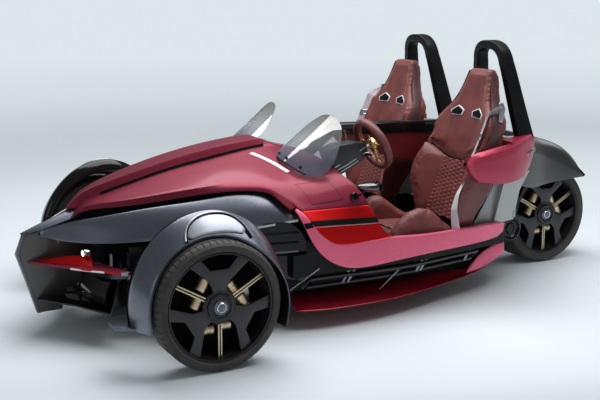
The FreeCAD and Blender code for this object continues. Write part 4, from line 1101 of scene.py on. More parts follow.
# %% Cover on the inner side, and lining
covers = []
for angle, *a in HOOP_ROWS:
    covers.append([round_axle(a[0], a[1] - 1.6, angle), round_axle(a[2] + 0.6, a[3] - 1.6, angle),
                   round_axle(a[2] + (a[4] - a[2]) * 0.8 + 1.8,
                              a[3] + (a[5] - a[3]) * 0.72 - 1.0, angle)])
panel_pair("fender_inner_side", covers, (0, -1, 0), 1.2, GLOSS_BLACK, edge=0, smooth=1,
           body="{side}_corner")
CLEAR_OF_TYRE = 306        # the lining stays this far from the axle
hollow = []
for angle, *a in HOOP_ROWS:
    hollow.append([round_axle(a[2] - 8, a[3] + 6, angle), round_axle(a[4] - 9, a[5], angle),
                   round_axle(a[6] - 8, a[7] - 2, angle),
                   round_axle(max(a[8] - 6, CLEAR_OF_TYRE), a[9] - 5, angle)])
panel_pair("fender_lining", hollow, (0, 0, -1), 1.5, SATIN_BLACK, edge=0, smooth=1,
           body="{side}_corner")

# %% Foot plate and stay
plate_pair("fender_foot", [(1492, 650), (1500, 745), (1392, 820), (1384, 700)], 197, 211, 3,
           GUNMETAL, steps=3, flat="z", body="{side}_corner")
plate_pair("fender_stay",
           [(1002, 278), (1030, 278), (1030, 470), (1044, 616), (988, 616), (1002, 470)], 764, 772,
           2, FRAME_BLACK, body="{side}_corner")

# %% [markdown]
# ## Tyres
#
# A tyre is a section spun round its axle. The section has the beads, the sidewall with its
# raised rings, the shoulders and the tread with three grooves round it. Narrow slits across
# the tread come from selecting every sixth strip of the outer ribs and pushing it inwards.

# %% Spin the tyres
REAR_AXLE_X = -1449
FRONT_Y = 872


TREAD_FROM = 0.2875        # metres from the axle; further in is sidewall


def tyre(name, body, node, x, y, width, rim):
    """Tyre with sidewall rings and a slit tread."""
    half, top = width / 2, AXLE_Z      # the tyre stands on the floor
    section = []
    for side in (-1, 1):
        flank = [(rim, half - 12), (rim + 3, half - 4), (rim + 9, half - 1), (rim + 11, half + 0.6),
                 (rim + 14, half + 0.6), (rim + 16, half - 1.2), (rim + 24, half),
                 (top - 18, half - 2.5), (top - 16, half - 1.5), (top - 14, half - 4.5),
                 (top - 8, half - 9), (top - 2.5, half - 17), (top, half - 27)]
        section.append([(r, y + side * along) for r, along in flank])
    band = half - 27
    tread = []
    for share in (-0.55, 0.0, 0.55):
        middle = y + band * share
        tread += [(top, middle - 3.5), (top - 5, middle - 3), (top - 5, middle + 3),
                  (top, middle + 3.5)]
    outline = section[0] + tread + list(reversed(section[1]))
    obj = spun(name, outline, (x, 0, AXLE_Z), 360)
    edit(obj)
    centre = Vector((x, 0, AXLE_Z)) * MM

    def on_rib(face):
        middle = face.calc_center_median() - centre
        turn = math.degrees(math.atan2(middle.z, middle.x)) % 360
        outer = middle.y < (y - band * 0.55) * MM or middle.y > (y + band * 0.55) * MM
        return (math.hypot(middle.x, middle.z) > TREAD_FROM and outer
                and int(turn) % 6 == (0 if middle.y < y * MM else 3))
    found = pick(obj, on_rib)
    bpy.ops.mesh.extrude_region_shrink_fatten(TRANSFORM_OT_shrink_fatten={"value": -0.0035})
    leave()
    set_piece(obj, RUBBER, node, body=body, angle=38)
    print(name, found, "slit faces")


tyre("left_front_tyre_tread", "left_wheel", "left_front_tyre", AXLE_X, FRONT_Y, 165, 249)
tyre("right_front_tyre_tread", "right_wheel", "right_front_tyre", AXLE_X, -FRONT_Y, 165, 249)
tyre("rear_tyre_tread", "rear_wheel_set", "rear_tyre", REAR_AXLE_X, 0, 250, 238)

# %% [markdown]
# ## Wheels
#
# The wheel is a deep dark barrel with three broad forked plates, up and to the lower left and
# right, and between them three pairs of slim forged bars. Each plate and each bar is made once,
# in the upright position, and its copies are turned about the axle. Behind the bars sit pairs of
# gold barrels, and a domed cap closes the hub.

# %% Parts of one wheel
def three_round(obj, name, x):
    """A piece and its two copies, a third of a turn apart about the axle, as one."""
    at = Matrix.Translation(Vector((x, 0, AXLE_Z)) * MM)
    copies = [copied(obj, "copy", at @ Matrix.Rotation(-math.radians(turn), 4, "Y") @ at.inverted())
              for turn in (120, 240)]
    return joined(name, obj, *copies)


# radius and place along its own axis, of a gold barrel beside the bars
BARREL = [(0.3, -30), (25, -30), (29, -27), (29, -10), (27, -9), (27, -5), (29, -4), (29, 4),
          (27, 5), (27, 9), (29, 10), (29, 27), (25, 30), (0.3, 30)]


def wheel(side, body, node, x, sign, y_mid, width, rim, hub_in, hub_out):
    """Everything that turns inside one tyre; sign is the way the open face looks.

    hub_in and hub_out say how far the disc and the hub reach from the tyre's middle.
    """
    out, reach = width / 2 - 8, rim - 7
    face = out - 14

    def y(along):
        return y_mid + sign * along

    def lathed(stem, steps, mat, profile, *nodes, slot=None):
        """A piece spun on the axle from (radius, distance from the tyre's middle) points."""
        obj = spun(side + stem, [(r, y(along)) for r, along in profile], (x, 0, AXLE_Z), steps)
        set_piece(obj, mat, *nodes, body=body, slot=slot)

    # barrel and its rolled outer edge
    lathed("_rim_barrel", 120, WHEEL_PAINT,
           [(rim - 0.5, -out), (rim - 0.5, out - 3), (rim - 2.5, out), (rim - 6, out + 0.5),
            (rim - 8.5, out - 1), (rim - 9.5, out - 6), (rim - 14, out - 26), (rim - 20, out - 40),
            (rim - 20, -out + 20), (rim - 13, -out + 4), (rim - 9, -out)], node)
    # forked plate, at the top, with a chamfered front
    fork = [(-30, 50), (-37, 88), (-50, 117)] + [(-reach * a, reach * b) for a, b in (
        (0.585, 0.81), (0.48, 0.877), (0.375, 0.926), (0.20, 0.715), (0.185, 0.697))]
    fork += [(-20, reach * 0.692)]
    fork += [(-a, b) for a, b in reversed(fork)]
    outlines = []
    for along, cut in ((face - 16, 0), (face - 2.5, 0), (face, 2.5)):
        outlines.append([(x + a - math.copysign(min(cut, abs(a)), a), y(along),
                          AXLE_Z + b + (-cut if b > 100 else cut)) for a, b in fork])
    plate_one = drawn_out("fork", outlines)
    soften(plate_one, 1.2)
    set_piece(three_round(plate_one, side + "_wheel_forks", x), FORK_GREY, body=body)
    # twin bars, at the bottom
    bars = []
    low_y, high_y = sorted((y(face - 18), y(face - 6)))
    for offset in (-9.5, 3.0):
        bar = block("bar", (x + offset, low_y, AXLE_Z - reach + 2),
                    (x + offset + 6.5, high_y, AXLE_Z - 42))
        soften(bar, 1.0)
        bars.append(bar)
    set_piece(three_round(joined("bars", *bars), side + "_wheel_bars", x), PALE_GOLD, body=body)
    # gold barrels beside the bars
    barrels = [spun("barrel", BARREL, (x + dx, y(face - 46), AXLE_Z + dz), 28, (1, 0, 0))
               for dx, dz in ((52, -106), (-30, -94))]
    set_piece(three_round(joined("barrels", *barrels), side + "_wheel_barrels", x), PALE_GOLD,
              body=body)
    # shroud, plain cap and its ring
    lathed("_wheel_shroud", 9, WHEEL_PAINT, [(r, face + a) for r, a in (
        (82, -12), (82, -2), (76, 2), (66, 2), (64, 9), (56, 12), (52, 12), (50, 6), (40, 5),
        (38, -30), (60, -34), (74, -22))])
    lathed("_wheel_cap", 64, GUNMETAL, [(r, face + a) for r, a in (
        (0.3, 20), (12, 19.5), (22, 17), (25, 13), (27, 13), (33, 11), (37, 5), (37, -25),
        (0.3, -25))], slot="wheel_black")
    lathed("_cap_ring", 64, CHROME, [(r, face + a) for r, a in (
        (19, 18.4), (21.5, 18.6), (23, 17), (20, 16))], slot="machined_steel")
    # brake disc with its bell, the web behind the bars, and the hub
    lathed("_brake_disc", 96, STEEL, [(r, hub_in + a) for r, a in (
        (52, 24), (60, 22), (64, 8), (88, 8), (90, 9.5), (148, 9.5), (150, 8), (150, 1.5),
        (148, 0), (90, 0), (88, 1.5), (58, 1.5), (52, 2))])
    lathed("_wheel_web", 72, GROOVE_BLACK,
           [(70, face - 34), (120, face - 60), (reach - 14, face - 84), (reach - 12, face - 88),
            (120, face - 66), (70, face - 40)], slot="wheel_black")
    lathed("_wheel_hub", 48, WHEEL_PAINT,
           [(30, hub_out - 30), (56, hub_out - 32), (58, hub_out - 40), (58, hub_in + 20),
            (50, hub_in + 4), (26, hub_in + 4)])


wheel("left_front", "left_wheel", "left_front_wheel", AXLE_X, 1, FRONT_Y, 165, 249, -34, 96)
wheel("right_front", "right_wheel", "right_front_wheel", AXLE_X, -1, -FRONT_Y, 165, 249, -34, 96)
wheel("rear", "rear_wheel_set", "rear_wheel", REAR_AXLE_X, 1, 0, 250, 238, -70, 92)

# %% [markdown]
# ## Screens
#
# Each screen is one thin blade of smoked plastic, bent to a part of a cylinder that leans back
# over the scuttle. Its egg-shaped outline is repeated in smaller and smaller rings, and every
# point of them is put on the cylinder. Three dark bolts and a dark foot hold it.

# %% Bend the screens
SCREEN_RADIUS = 330.0
SCREEN_LEAN = math.radians(53)
# across from the blade's middle, up along it
SCREEN = [(-112, 78), (-66, 48), (0, 32), (75, 28), (142, 34), (198, 56), (238, 100), (250, 150),
          (246, 200), (231, 240), (214, 287), (188, 328), (150, 358), (105, 373), (55, 378),
          (10, 376), (-25, 366), (-58, 342), (-92, 296), (-120, 246), (-140, 195), (-146, 150),
          (-140, 92)]


def onto_blade(across, up, lift=0.0):
    """Point of a screen, in millimetres."""
    turn = across / SCREEN_RADIUS
    radius = SCREEN_RADIUS + lift
    x, y, z = radius * math.cos(turn) - SCREEN_RADIUS, radius * math.sin(turn), up
    if turn > 0.2:
        x -= (turn - 0.2) * 150 * max(0.0, 1 - up / 320)
    return Vector((495 + x * math.cos(SCREEN_LEAN) - z * math.sin(SCREEN_LEAN), 300 + y,
                   800 + x * math.sin(SCREEN_LEAN) + z * math.cos(SCREEN_LEAN)))


middle = Vector((48, 185))
rings = []
for share in (1.0, 0.995, 0.97, 0.9, 0.78, 0.62, 0.44, 0.24, 0.04):
    rings.append([onto_blade(*(middle + (Vector(p) - middle) * share))
                  for p in SCREEN + SCREEN[:1]])
screen = laid_panel("screen", rings, (0.6, 0, 0.8))
tidy_faces(screen, 0.0002)
modify(screen, "SUBSURF", levels=2, render_levels=2)
modify(screen, "SOLIDIFY", thickness=0.0045, offset=-1)
# the screens' tint carries a painted reflection that changes with height
pair(screen, "screen", SCREEN_SMOKE_AND_PAINTED_REFLECTION, "windscreens", angle=40)
bolts = []
for across, up in ((-45, 64), (50, 52), (138, 58)):
    spot = onto_blade(across, up, 1)
    out = (onto_blade(across, up, 20) - spot).normalized()
    bolts.append(spun("bolt", [(0.3, 5), (4, 4.6), (6, 3), (7, 0.5), (7, -9), (0.3, -9)], spot, 20,
                      out))
pair(joined("bolts", *bolts), "screen_bolts", SATIN_BLACK)
foot = tube("foot",
            [onto_blade(a, u, -7)
             for a, u in ((-88, 66), (-35, 42), (40, 30), (110, 31), (176, 48))], 4)
pair(foot, "screen_foot", SATIN_BLACK)

# %% [markdown]
# ## Dash, column and steering wheel
#
# A dark squared housing leaves the dash towards the driver, with bright strips along both sides
# and two polished stalks. The wheel has a thick leather rim, deeper than it is wide, a gold hub
# with two spokes and two legs below, and a gold bar on each side behind it. Everything of the
# wheel is modelled flat at the origin and then moved to the column with one matrix.

# %% Column housing
SEAT_Y = 377               # the middle of each seat, and of the steering column
WHEEL_AT = Vector((-40, SEAT_Y, 866)) * MM
COLUMN = Matrix.Translation(WHEEL_AT) @ Matrix.Rotation(-math.radians(64), 4, "Y")


def on_column(obj):
    """Moves a piece from the origin, where Z is the column's axis, to the wheel's place."""
    obj.data.transform(COLUMN)
    return obj


pod = drawn_out("pod",
                [[(-30, -34, -275), (60, -54, -275), (122, -46, -275), (122, 46, -275),
                  (60, 54, -275), (-30, 40, -275)],
                 [(-34, -36, -200), (50, -56, -200), (112, -49, -200), (112, 49, -200),
                  (50, 56, -200), (-34, 44, -200)],
                 [(-30, -36, -120), (36, -52, -110), (76, -46, -104), (76, 46, -104),
                  (36, 52, -110), (-30, 44, -120)],
                 [(-16, -30, -70), (26, -44, -56), (38, -40, -50), (38, 40, -50), (26, 44, -56),
                  (-16, 36, -70)]])
soften(pod, 3, 3)
set_piece(on_column(pod), POD_GREY, "steering_column")
shaft = spun("column_shaft", [(0.3, -80), (13.9, -80), (13.9, -30), (13.9, -2), (0.3, -2)],
             (0, 0, 0), 32, (0, 0, 1))
set_piece(on_column(shaft), STEEL)
trim, stalks = [], []
# across the face: where each strip starts and ends, and its width
STRIPS = (((22, -272), (26, -66), 6), ((2, -262), (0, -140), 5), ((-14, -252), (-16, -134), 5))
for side in (-1, 1):
    for (a, b), (c, d), wide in STRIPS:
        rings = []
        for middle, z, out, inner in ((a, b, 50, 45), (c, (b + d) / 2, 51, 45), (c, d, 49, 40)):
            rings.append([(middle - wide / 2, side * out, z), (middle + wide / 2, side * out, z),
                          (middle + wide / 2, side * inner, z),
                          (middle - wide / 2, side * inner, z)])
        strip = drawn_out("strip", rings)
        soften(strip, 0.8)
        trim.append(strip)
    stalk = drawn_out("stalk", [[(x, side * y, z) for x, y, z in ring] for ring in (
        ((-4, 44, -108), (10, 44, -108), (10, 52, -108), (-4, 52, -108)),
        ((-14, 62, -80), (8, 62, -80), (10, 72, -86), (-12, 72, -86)),
        ((-18, 92, -62), (-2, 92, -62), (0, 98, -70), (-16, 98, -70)))])
    soften(stalk, 2.5, 3)
    stalks.append(stalk)
set_piece(on_column(joined("column_strips", *trim)), SILVER)
set_piece(on_column(joined("column_stalks", *stalks)), CHROME)

# %% Steering wheel
RIM_RADIUS = 0.128
bpy.ops.mesh.primitive_torus_add(major_radius=RIM_RADIUS, minor_radius=0.0185, major_segments=96,
                                 minor_segments=20)
rim = added("rim")
edit(rim, "VERT")
everything()
bpy.ops.transform.resize(value=(1, 1, 1.25))
bpy.ops.mesh.select_all(action="DESELECT")
pick(rim, lambda v: v.co.z < 0 and math.hypot(v.co.x, v.co.y) < RIM_RADIUS, "verts")
bpy.ops.transform.resize(value=(1.01, 1.01, 1), center_override=(0, 0, 0))
leave()
set_piece(on_column(rim), LEATHER, "steering_wheel", body="steering_wheel")
bpy.ops.mesh.primitive_torus_add(major_radius=0.1092, minor_radius=0.0011, major_segments=180,
                                 minor_segments=6)
seam = added("seam")
set_piece(on_column(seam), STITCH, body="steering_wheel")
hub = spun("hub",
           [(14.2, -16), (33, -15), (35, -12), (35, 6), (31, 10), (24, 12), (12, 13), (0.3, 13),
            (0.3, 2), (14.2, 2)], (0, 0, 0), 64, (0, 0, 1))
arms = []
# y along the spoke, half width of its back and of its face, low and high face
SPOKE = ((26, 13, 12, -5, 5), (62, 8, 7, -4, 2), (92, 9, 9, -3, 3), (113, 20, 20, -4, 4))
# x along the leg, near and far side
LEG = ((-24, 6, 15), (-70, 14, 22), (-113, 26, 38))
for angle in (0, 180):
    arm = drawn_out("arm", [[(-wide, y, low), (wide, y, low), (slim, y, high), (-slim, y, high)]
                            for y, wide, slim, low, high in SPOKE])
    soften(arm, 1.6)
    arm.data.transform(Matrix.Rotation(math.radians(angle), 4, "Z"))
    arms.append(arm)
for side in (-1, 1):
    leg = drawn_out("leg", [[(x, side * near, -4), (x, side * far, -4), (x, side * far, 3),
                             (x, side * near, 3)] for x, near, far in LEG])
    soften(leg, 1.6)
    arms.append(leg)
set_piece(on_column(joined("wheel_hub_and_spokes", hub, *arms)), GOLD, body="steering_wheel")
paddles = []
for side in (-1, 1):
    path = [(74, side * 46, -26), (40, side * 58, -28), (0, side * 62, -29), (-40, side * 58, -28),
            (-74, side * 46, -26)]
    bar = tube("bar", path, 3.6, 16)
    link_bar = drawn_out("link", [
        [(-half, side * y, top), (half, side * y, top), (half, side * y, low),
         (-half, side * y, low)] for half, y, top, low in ((6, 20, -22, -28), (4, 61, -26, -31))])
    soften(link_bar, 1)
    paddles += [bar, link_bar]
set_piece(on_column(joined("gold_paddles", *paddles)), GOLD, body="steering_wheel")

# %% Gold lever and dash edge
lever = tube("centre_lever",
             [(22, 150, 806), (-10, 150, 828), (-14, 150, 862), (-8, 150, 886), (2, 150, 912)], 4,
             16)
set_piece(lever, GOLD)
dash = laid_panel("dash",
                  [[(226, y, 752), (216, y, 746), (206, y, 722), (214, y, 676), (236, y, 622),
                    (262, y, 598)] for y in (-470, -300, -120, 0, 120, 300, 470)], (-1, 0, 0))
skin(dash, 4, edge=0)
set_piece(dash, GRAINED_BLACK, "dashboard")

# %% [markdown]
# ## Mirrors
#
# A mirror head is a polished drop with a flat dark glass towards the driver, on a thin stalk
# that stands in a round socket on the scuttle's shoulder.

# %% Mirrors
# x, then y and z round the head
HEAD = ((98, ((634, 682), (696, 680), (702, 702), (690, 724), (640, 730), (628, 706))),
        (140, ((630, 681), (698, 680), (704, 704), (690, 728), (640, 733), (626, 708))),
        (180, ((636, 690), (690, 689), (696, 706), (684, 726), (642, 729), (634, 710))),
        (208, ((646, 700), (678, 700), (684, 710), (676, 722), (650, 724), (644, 712))),
        (220, ((654, 708), (668, 708), (671, 712), (668, 716), (656, 717), (653, 712))))
head = drawn_out("head", [[(x, y, z) for y, z in ring] for x, ring in HEAD])
modify(head, "SUBSURF", levels=2, render_levels=2)
# the mirror heads use the darkened chrome, a painted shade
pair(head, "mirror_head", CHROME_WITH_PAINTED_SHADE, "mirrors")
plate_pair("mirror_glass", [(636, 684), (694, 683), (699, 703), (688, 722), (641, 727), (631, 706)],
           94, 99, 1.5, GLOSS_BLACK, flat="x")
stalk = tube("stalk", [(187, 588, 640), (184, 606, 650), (174, 634, 670), (160, 656, 694)], 5, 16)
socket = spun("socket", [(9, 19), (18, 18), (23, 14), (24, 8), (24, 0), (10, 0)], (187, 572, 640),
              48, (0, 0.96, 0.28))
pair(joined("stalk_and_socket", stalk, socket), "mirror_stalk", GLOSS_BLACK)

# %% [markdown]
# ## Centre beam
#
# Between the seats a glossy bar runs from the dash to the rear body over a deep red panel with
# fine lines pressed along it.

# %% Beam and panel
bar = drawn_out("bar",
                [[(x, -36, low), (x, 36, low), (x, 36, top - 8), (x, 28, top), (x, -28, top),
                  (x, -36, top - 8)]
                 for x, low, top in ((212, 694, 730), (120, 774, 830), (0, 868, 926),
                                     (-60, 868, 931), (-860, 840, 906))])
soften(bar, 2, 3)
set_piece(bar, GLOSS_BLACK, "centre_beam")
for side in (-1, 1):
    cheek = laid_panel(("left" if side > 0 else "right") + "_beam_panel",
                       [[(x, side * 29, top - (top - low) * share)
                         for share in (0, 0.14, 0.16, 0.3, 0.32, 0.46, 0.48, 0.7, 1.0)]
                        for x, top, low in ((-24, 868, 862), (-70, 868, 800), (-200, 862, 768),
                                            (-520, 852, 690), (-858, 842, 642))], (0, side, 0))
    skin(cheek, 3, edge=0, smooth=1)
    set_piece(cheek, DARK_RED)

# %% [markdown]
# ## Seats
#
# A bucket seat is a stiff shell with foam on it, covered in leather panels that meet at seams.
# Each foam is drawn as a few cross sections from the bottom to the top, a little smaller than
# the finished pad. It is remeshed evenly, and air pressure in a short cloth simulation blows its
# cover up until it is round. No point may move further than a set distance, so the pad keeps its
# size. Both seats are alike, so the left one is made and mirrored.

# %% Stuffing a foam
def stuffed(obj, swell, voxel=8.0):
    """Blows a closed form up like a leather cover over foam."""
    modify(obj, "REMESH", mode="VOXEL", voxel_size=voxel * MM)
    modify(obj, "SMOOTH", factor=0.5, iterations=6)
    scene = bpy.context.scene
    before = [v.co.copy() for v in obj.data.vertices]
    work_on(obj)
    cover = obj.modifiers.new("cover", "CLOTH")
    cover.settings.use_pressure = True
    cover.settings.uniform_pressure_force = 4.0
    cover.settings.effector_weights.gravity = 0.0
    for frame_number in range(1, 21):
        scene.frame_set(frame_number)
    bpy.ops.object.modifier_apply(modifier=cover.name)
    scene.frame_set(1)
    for vert, start in zip(obj.data.vertices, before):
        step = vert.co - start
        if step.length > swell * MM:
            vert.co = start + step * (swell * MM / step.length)
    modify(obj, "SUBSURF", levels=1, render_levels=1)


# z, x of the face, how far the sides stand ahead of it, half width, thickness
SEAT_LEVELS = [(430, -484, 50, 196, 100), (520, -506, 84, 226, 112), (600, -528, 104, 248, 118),
               (670, -547, 108, 256, 120), (740, -567, 96, 254, 118), (820, -591, 68, 246, 112),
               (854, -600, 50, 233, 109), (890, -611, 50, 249, 108), (940, -627, 42, 250, 106),
               (978, -640, 32, 236, 102), (1008, -650, 24, 208, 98), (1040, -661, 16, 176, 94),
               (1080, -674, 10, 151, 88), (1150, -692, 4, 127, 78), (1205, -702, 0, 112, 68),
               (1233, -708, 0, 92, 54)]


def seat_level(z):
    """The seat's numbers at any height."""
    z = max(SEAT_LEVELS[0][0], min(SEAT_LEVELS[-1][0], z))
    for low, high in zip(SEAT_LEVELS, SEAT_LEVELS[1:]):
        if low[0] <= z <= high[0]:
            share = (z - low[0]) / (high[0] - low[0])
            return [a + (b - a) * share for a, b in zip(low, high)]


def seat_face(out, z, lift=0.0):
    """Point on the seat's face, out from the seat's middle."""
    _, x, ahead, half, _ = seat_level(z)
    side = max(0.0, abs(out) / half - 0.42) / 0.5
    return (x + ahead * min(1.0, side) ** 1.4 + lift, SEAT_Y + out, z)


def slab(name, levels, inner, outer, shrink=5.0):
    """Closed form between two distances out, which are functions of z, over the levels."""
    outlines = []
    for z in levels:
        a, b = inner(z) + shrink, outer(z) - shrink
        back = seat_level(z)[4] - shrink
        face = [seat_face(a + (b - a) * t, z, -shrink) for t in (0, 0.12, 0.3, 0.5, 0.7, 0.88, 1)]
        rear = min(p[0] for p in face) - back
        outlines.append(face + [(rear, SEAT_Y + b - 12, z), (rear, SEAT_Y + (a + b) / 2, z),
                                (rear, SEAT_Y + a + 12, z)])
    return drawn_out(name, outlines)


# %% Upper back, with shoulders and head in one
WAIST = 744                # height from which the seams of the upper leather spread


def seam_out(z):
    """How far out the seam over the side bolster is, above the waist."""
    return 100 + (z - WAIST) * 1.85


def upper_edge(z):
    """How far out the upper leather reaches."""
    return seam_out(z) if z < 824 else seat_level(z)[3]


upper = slab("upper",
             [736, 744, 785, 824, 870, 915, 950, 980, 1008, 1040, 1080, 1120, 1160, 1198, 1222,
              1236], lambda z: -upper_edge(z), upper_edge)
stuffed(upper, 9)
upper, upper_right = pair(upper, "seat_upper", LEATHER, "{side}_seat", angle=60)

# %% Side bolsters
def bolster_in(z):
    """Seam between the bolster and the quilted middle."""
    return seam_out(z) if z > WAIST else 100 + (WAIST - z) * 0.10


def inner_flank(z):
    """How far in the inner bolster reaches; it swells at the waist."""
    return -seat_level(z)[3] - 18 * max(0.0, 1 - abs(z - 700) / 120)


BOLSTER_LEVELS = [418, 470, 540, 600, 660, 710, 744, 780, 822]
for stem, inner, outer in (
        ("seat_outer_bolster", lambda z: bolster_in(z) - 1, lambda z: seat_level(z)[3]),
        ("seat_inner_bolster", inner_flank, lambda z: -bolster_in(z) + 1)):
    bolster = slab(stem, BOLSTER_LEVELS, inner, outer, 3)
    stuffed(bolster, 8)
    for piece in pair(bolster, stem, LEATHER, angle=60):
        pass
print("upper back", len(upper.data.polygons), "faces")

# %% [markdown]
# ## Quilting
#
# The middle of the back and of the cushion is sewn into seven columns of small puffs, each
# column half a puff higher than its neighbour. A fine grid is laid on the face, and every point
# is lifted by how far it is from the nearest stitch line.

# %% Quilted panels
def quilted(name, place, columns, puffs, height, out, wall=9.0):
    """A panel of sewn puffs; place(across, along, lift) gives points, for shares from 0 to 1."""
    fine_across, fine_along = columns * 6, puffs * 6
    rows = []
    for j in range(fine_along + 1):
        row = []
        for i in range(fine_across + 1):
            column = min(i // 6, columns - 1)
            u = i / 6 - column
            v = j / 6 + (0.5 if column % 2 else 0.0)
            ridge, bump = abs(math.sin(math.pi * u)), abs(math.sin(math.pi * v))
            puff = ridge ** 0.55 * (0.28 + 0.72 * bump ** 0.6)
            row.append(place(i / fine_across, j / fine_along, height * puff))
        rows.append(row)
    panel = laid_panel(name, rows, out)
    modify(panel, "SUBSURF", levels=1, render_levels=1)
    modify(panel, "SOLIDIFY", thickness=wall * MM, offset=-1)
    return panel


def back_spot(across, along, lift):
    """Where the back's quilting lies."""
    z = 440 + 308 * along
    x, y, z = seat_face((across - 0.5) * 2 * (bolster_in(z) + 4), z)
    crown = 8 * (1 - (2 * across - 1) ** 2)
    return (x + 4 + crown + lift, y, z + lift * 0.3)


back_quilt = quilted("back_quilt", back_spot, 7, 14, 5.0, (1, 0, 0))
for piece in pair(back_quilt, "back_quilting", LEATHER, angle=60):
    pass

# %% Cushion: base, thigh supports and quilting
def cushion_form(name, inner, outer, top):
    """Closed form of the cushion between two distances out; top is x and z from front to rear."""
    outlines = []
    for x, z in top:
        outlines.append([(x, SEAT_Y + inner + 4, 342), (x, SEAT_Y + outer - 4, 342),
                         (x, SEAT_Y + outer - 4, z - 26), (x, SEAT_Y + outer - 18, z - 6),
                         (x, SEAT_Y + (inner + outer) / 2, z), (x, SEAT_Y + inner + 18, z - 6),
                         (x, SEAT_Y + inner + 4, z - 26)])
    return drawn_out(name, outlines)


base = cushion_form("base", -136, 136,
                    [(-76, 404), (-96, 420), (-160, 420), (-260, 408), (-360, 396), (-414, 394)])
stuffed(base, 6)
for piece in pair(base, "cushion_base", LEATHER, "{side}_cushion", angle=60):
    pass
OUTER_TOP = [(-44, 392), (-60, 432), (-100, 478), (-160, 522), (-225, 540), (-290, 526),
             (-340, 486), (-385, 446), (-420, 424)]
INNER_TOP = [(-40, 396), (-54, 446), (-84, 506), (-130, 552), (-180, 558), (-235, 528), (-290, 488),
             (-350, 452), (-420, 424)]
for stem, inner, outer, top in (("cushion_outer_support", 122, 208, OUTER_TOP),
                                ("cushion_inner_support", -208, -122, INNER_TOP)):
    support = cushion_form(stem, inner, outer, top)
    stuffed(support, 9)
    for piece in pair(support, stem, LEATHER, angle=60):
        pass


def cushion_spot(across, along, lift):
    """Where the cushion's quilting lies."""
    x = -104 - 306 * along
    z = 424 - 26 * along + (10 * math.sin(math.pi * min(1.0, along * 1.1)))
    return (x, SEAT_Y + (across - 0.5) * 250, z + 4 * (1 - (2 * across - 1) ** 2) + lift)


cushion_quilt = quilted("cushion_quilt", cushion_spot, 7, 14, 4.5, (0, 0, 1))
for piece in pair(cushion_quilt, "cushion_quilting", LEATHER, angle=60):
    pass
print("quilting", len(back_quilt.data.polygons), "faces")

# %% [markdown]
# ## Seams, piping and slots
#
# A seam is a narrow dark line where two covers meet, and rows of stitches run beside it. Its
# path is given by a few points, and every point on it is moved to the nearest spot of the pad.
# The shoulder slots are silver rings round dark openings, one on each side.

# %% Lines that follow a pad
def along_path(path, count):
    """Evenly spread points on straight legs, in millimetres."""
    path = [Vector(p) for p in path]
    legs = [(b - a).length for a, b in zip(path, path[1:])]
    spots = []
    for number in range(count):
        want = sum(legs) * number / (count - 1)
        for a, b, leg in zip(path, path[1:], legs):
            if want <= leg or b is path[-1]:
                spots.append(a + (b - a) * min(1.0, want / leg))
                break
            want -= leg
    return spots


def seam_on(name, base, path, radius, sink, count=30):
    """A thin round line sunk into a pad."""
    spots = []
    for spot in along_path(path, count):
        _, place, normal, _ = base.closest_point_on_mesh(spot * MM)
        spots.append((place - normal * sink * MM) / MM)
    return tube(name, spots, radius, 8)


def face_path(pairs, lift=14):
    """Seat face points from (out, z) pairs."""
    return [seat_face(out, z, lift) for out, z in pairs]


lines = []
for side in (-1, 1):
    for pairs in ([(side * 100, 750), (side * 108, 870), (side * 112, 966)],
                  [(side * 248, 828), (side * 102, 748)],
                  [(side * 112, 966), (side * 96, 1040), (side * 86, 1120), (side * 74, 1226)]):
        lines.append(seam_on("line", upper, face_path(pairs), 1.5, 0.6))
lines.append(seam_on("line", upper, face_path([(-100, 750), (100, 750)]), 1.5, 0.6))
pair(joined("lines", *lines), "seat_seams", DARK_LEATHER)
welts = []
for side in (-1, 1):
    for offset in (-5, 5):
        welts.append(seam_on("welt", upper,
                             face_path([(side * (80 + offset), 1228), (side * (97 + offset), 1120),
                                        (side * (112 + offset), 1040),
                                        (side * (150 + offset), 962)]), 0.9, 0.1))
pair(joined("welts", *welts), "seat_stitching", STITCH)

# %% Slots in the shoulders
SLOT = [(34, 1006), (91, 1028), (143, 998), (138, 972), (44, 976)]


def slot_outline(shrink, lift):
    """The slot's outline on the seat's face, made smaller all round."""
    middle = Vector((sum(a for a, b in SLOT), sum(b for a, b in SLOT))) / 5
    return [seat_face(*(middle + (Vector(p) - middle) * (1 - shrink)), lift) for p in SLOT]


for stem, low, high, outer, inner, mat in (("slot_frame", -6, 7.0, 0.0, 0.02, TRIM_PALE),
                                           ("slot_opening", -4, 10.0, 0.20, 0.22, GLOSS_BLACK)):
    both = []
    for side in (-1, 1):
        rings = [slot_outline(outer, low), slot_outline(outer, high - 2), slot_outline(inner, high)]
        shape = drawn_out(
            stem, [[(x, SEAT_Y + side * (y - SEAT_Y), z) for x, y, z in ring] for ring in rings])
        soften(shape, 0.8)
        both.append(shape)
    pair(joined(stem, *both), stem, mat)

# %% Shell behind the foam
shell_rows = []
for z in (380, 430, 520, 620, 720, 820, 900, 960, 1020, 1090, 1160, 1215):
    _, x, ahead, half, thick = seat_level(z)
    half = half - 6
    rear = x - thick - 6
    shell_rows.append([(x + ahead * 0.25 - 10, SEAT_Y - half, z), (rear + 26, SEAT_Y - half + 3, z),
                       (rear + 2, SEAT_Y - half * 0.7, z), (rear - 4, SEAT_Y, z),
                       (rear + 2, SEAT_Y + half * 0.7, z), (rear + 26, SEAT_Y + half - 3, z),
                       (x + ahead * 0.25 - 10, SEAT_Y + half, z)])
panel_pair("seat_shell", shell_rows, (-1, 0, 0), 4, DARK_LEATHER, edge=0.6)

# %% [markdown]
# ## Belts
#
# The belt comes out of a silver guide at the shoulder, passes in front of the outer bolster and
# ends at the sill in a paler tape. It is laid as a band five points wide and given its wall.
# TURNS says which way the width of the band points, at shares of its length.

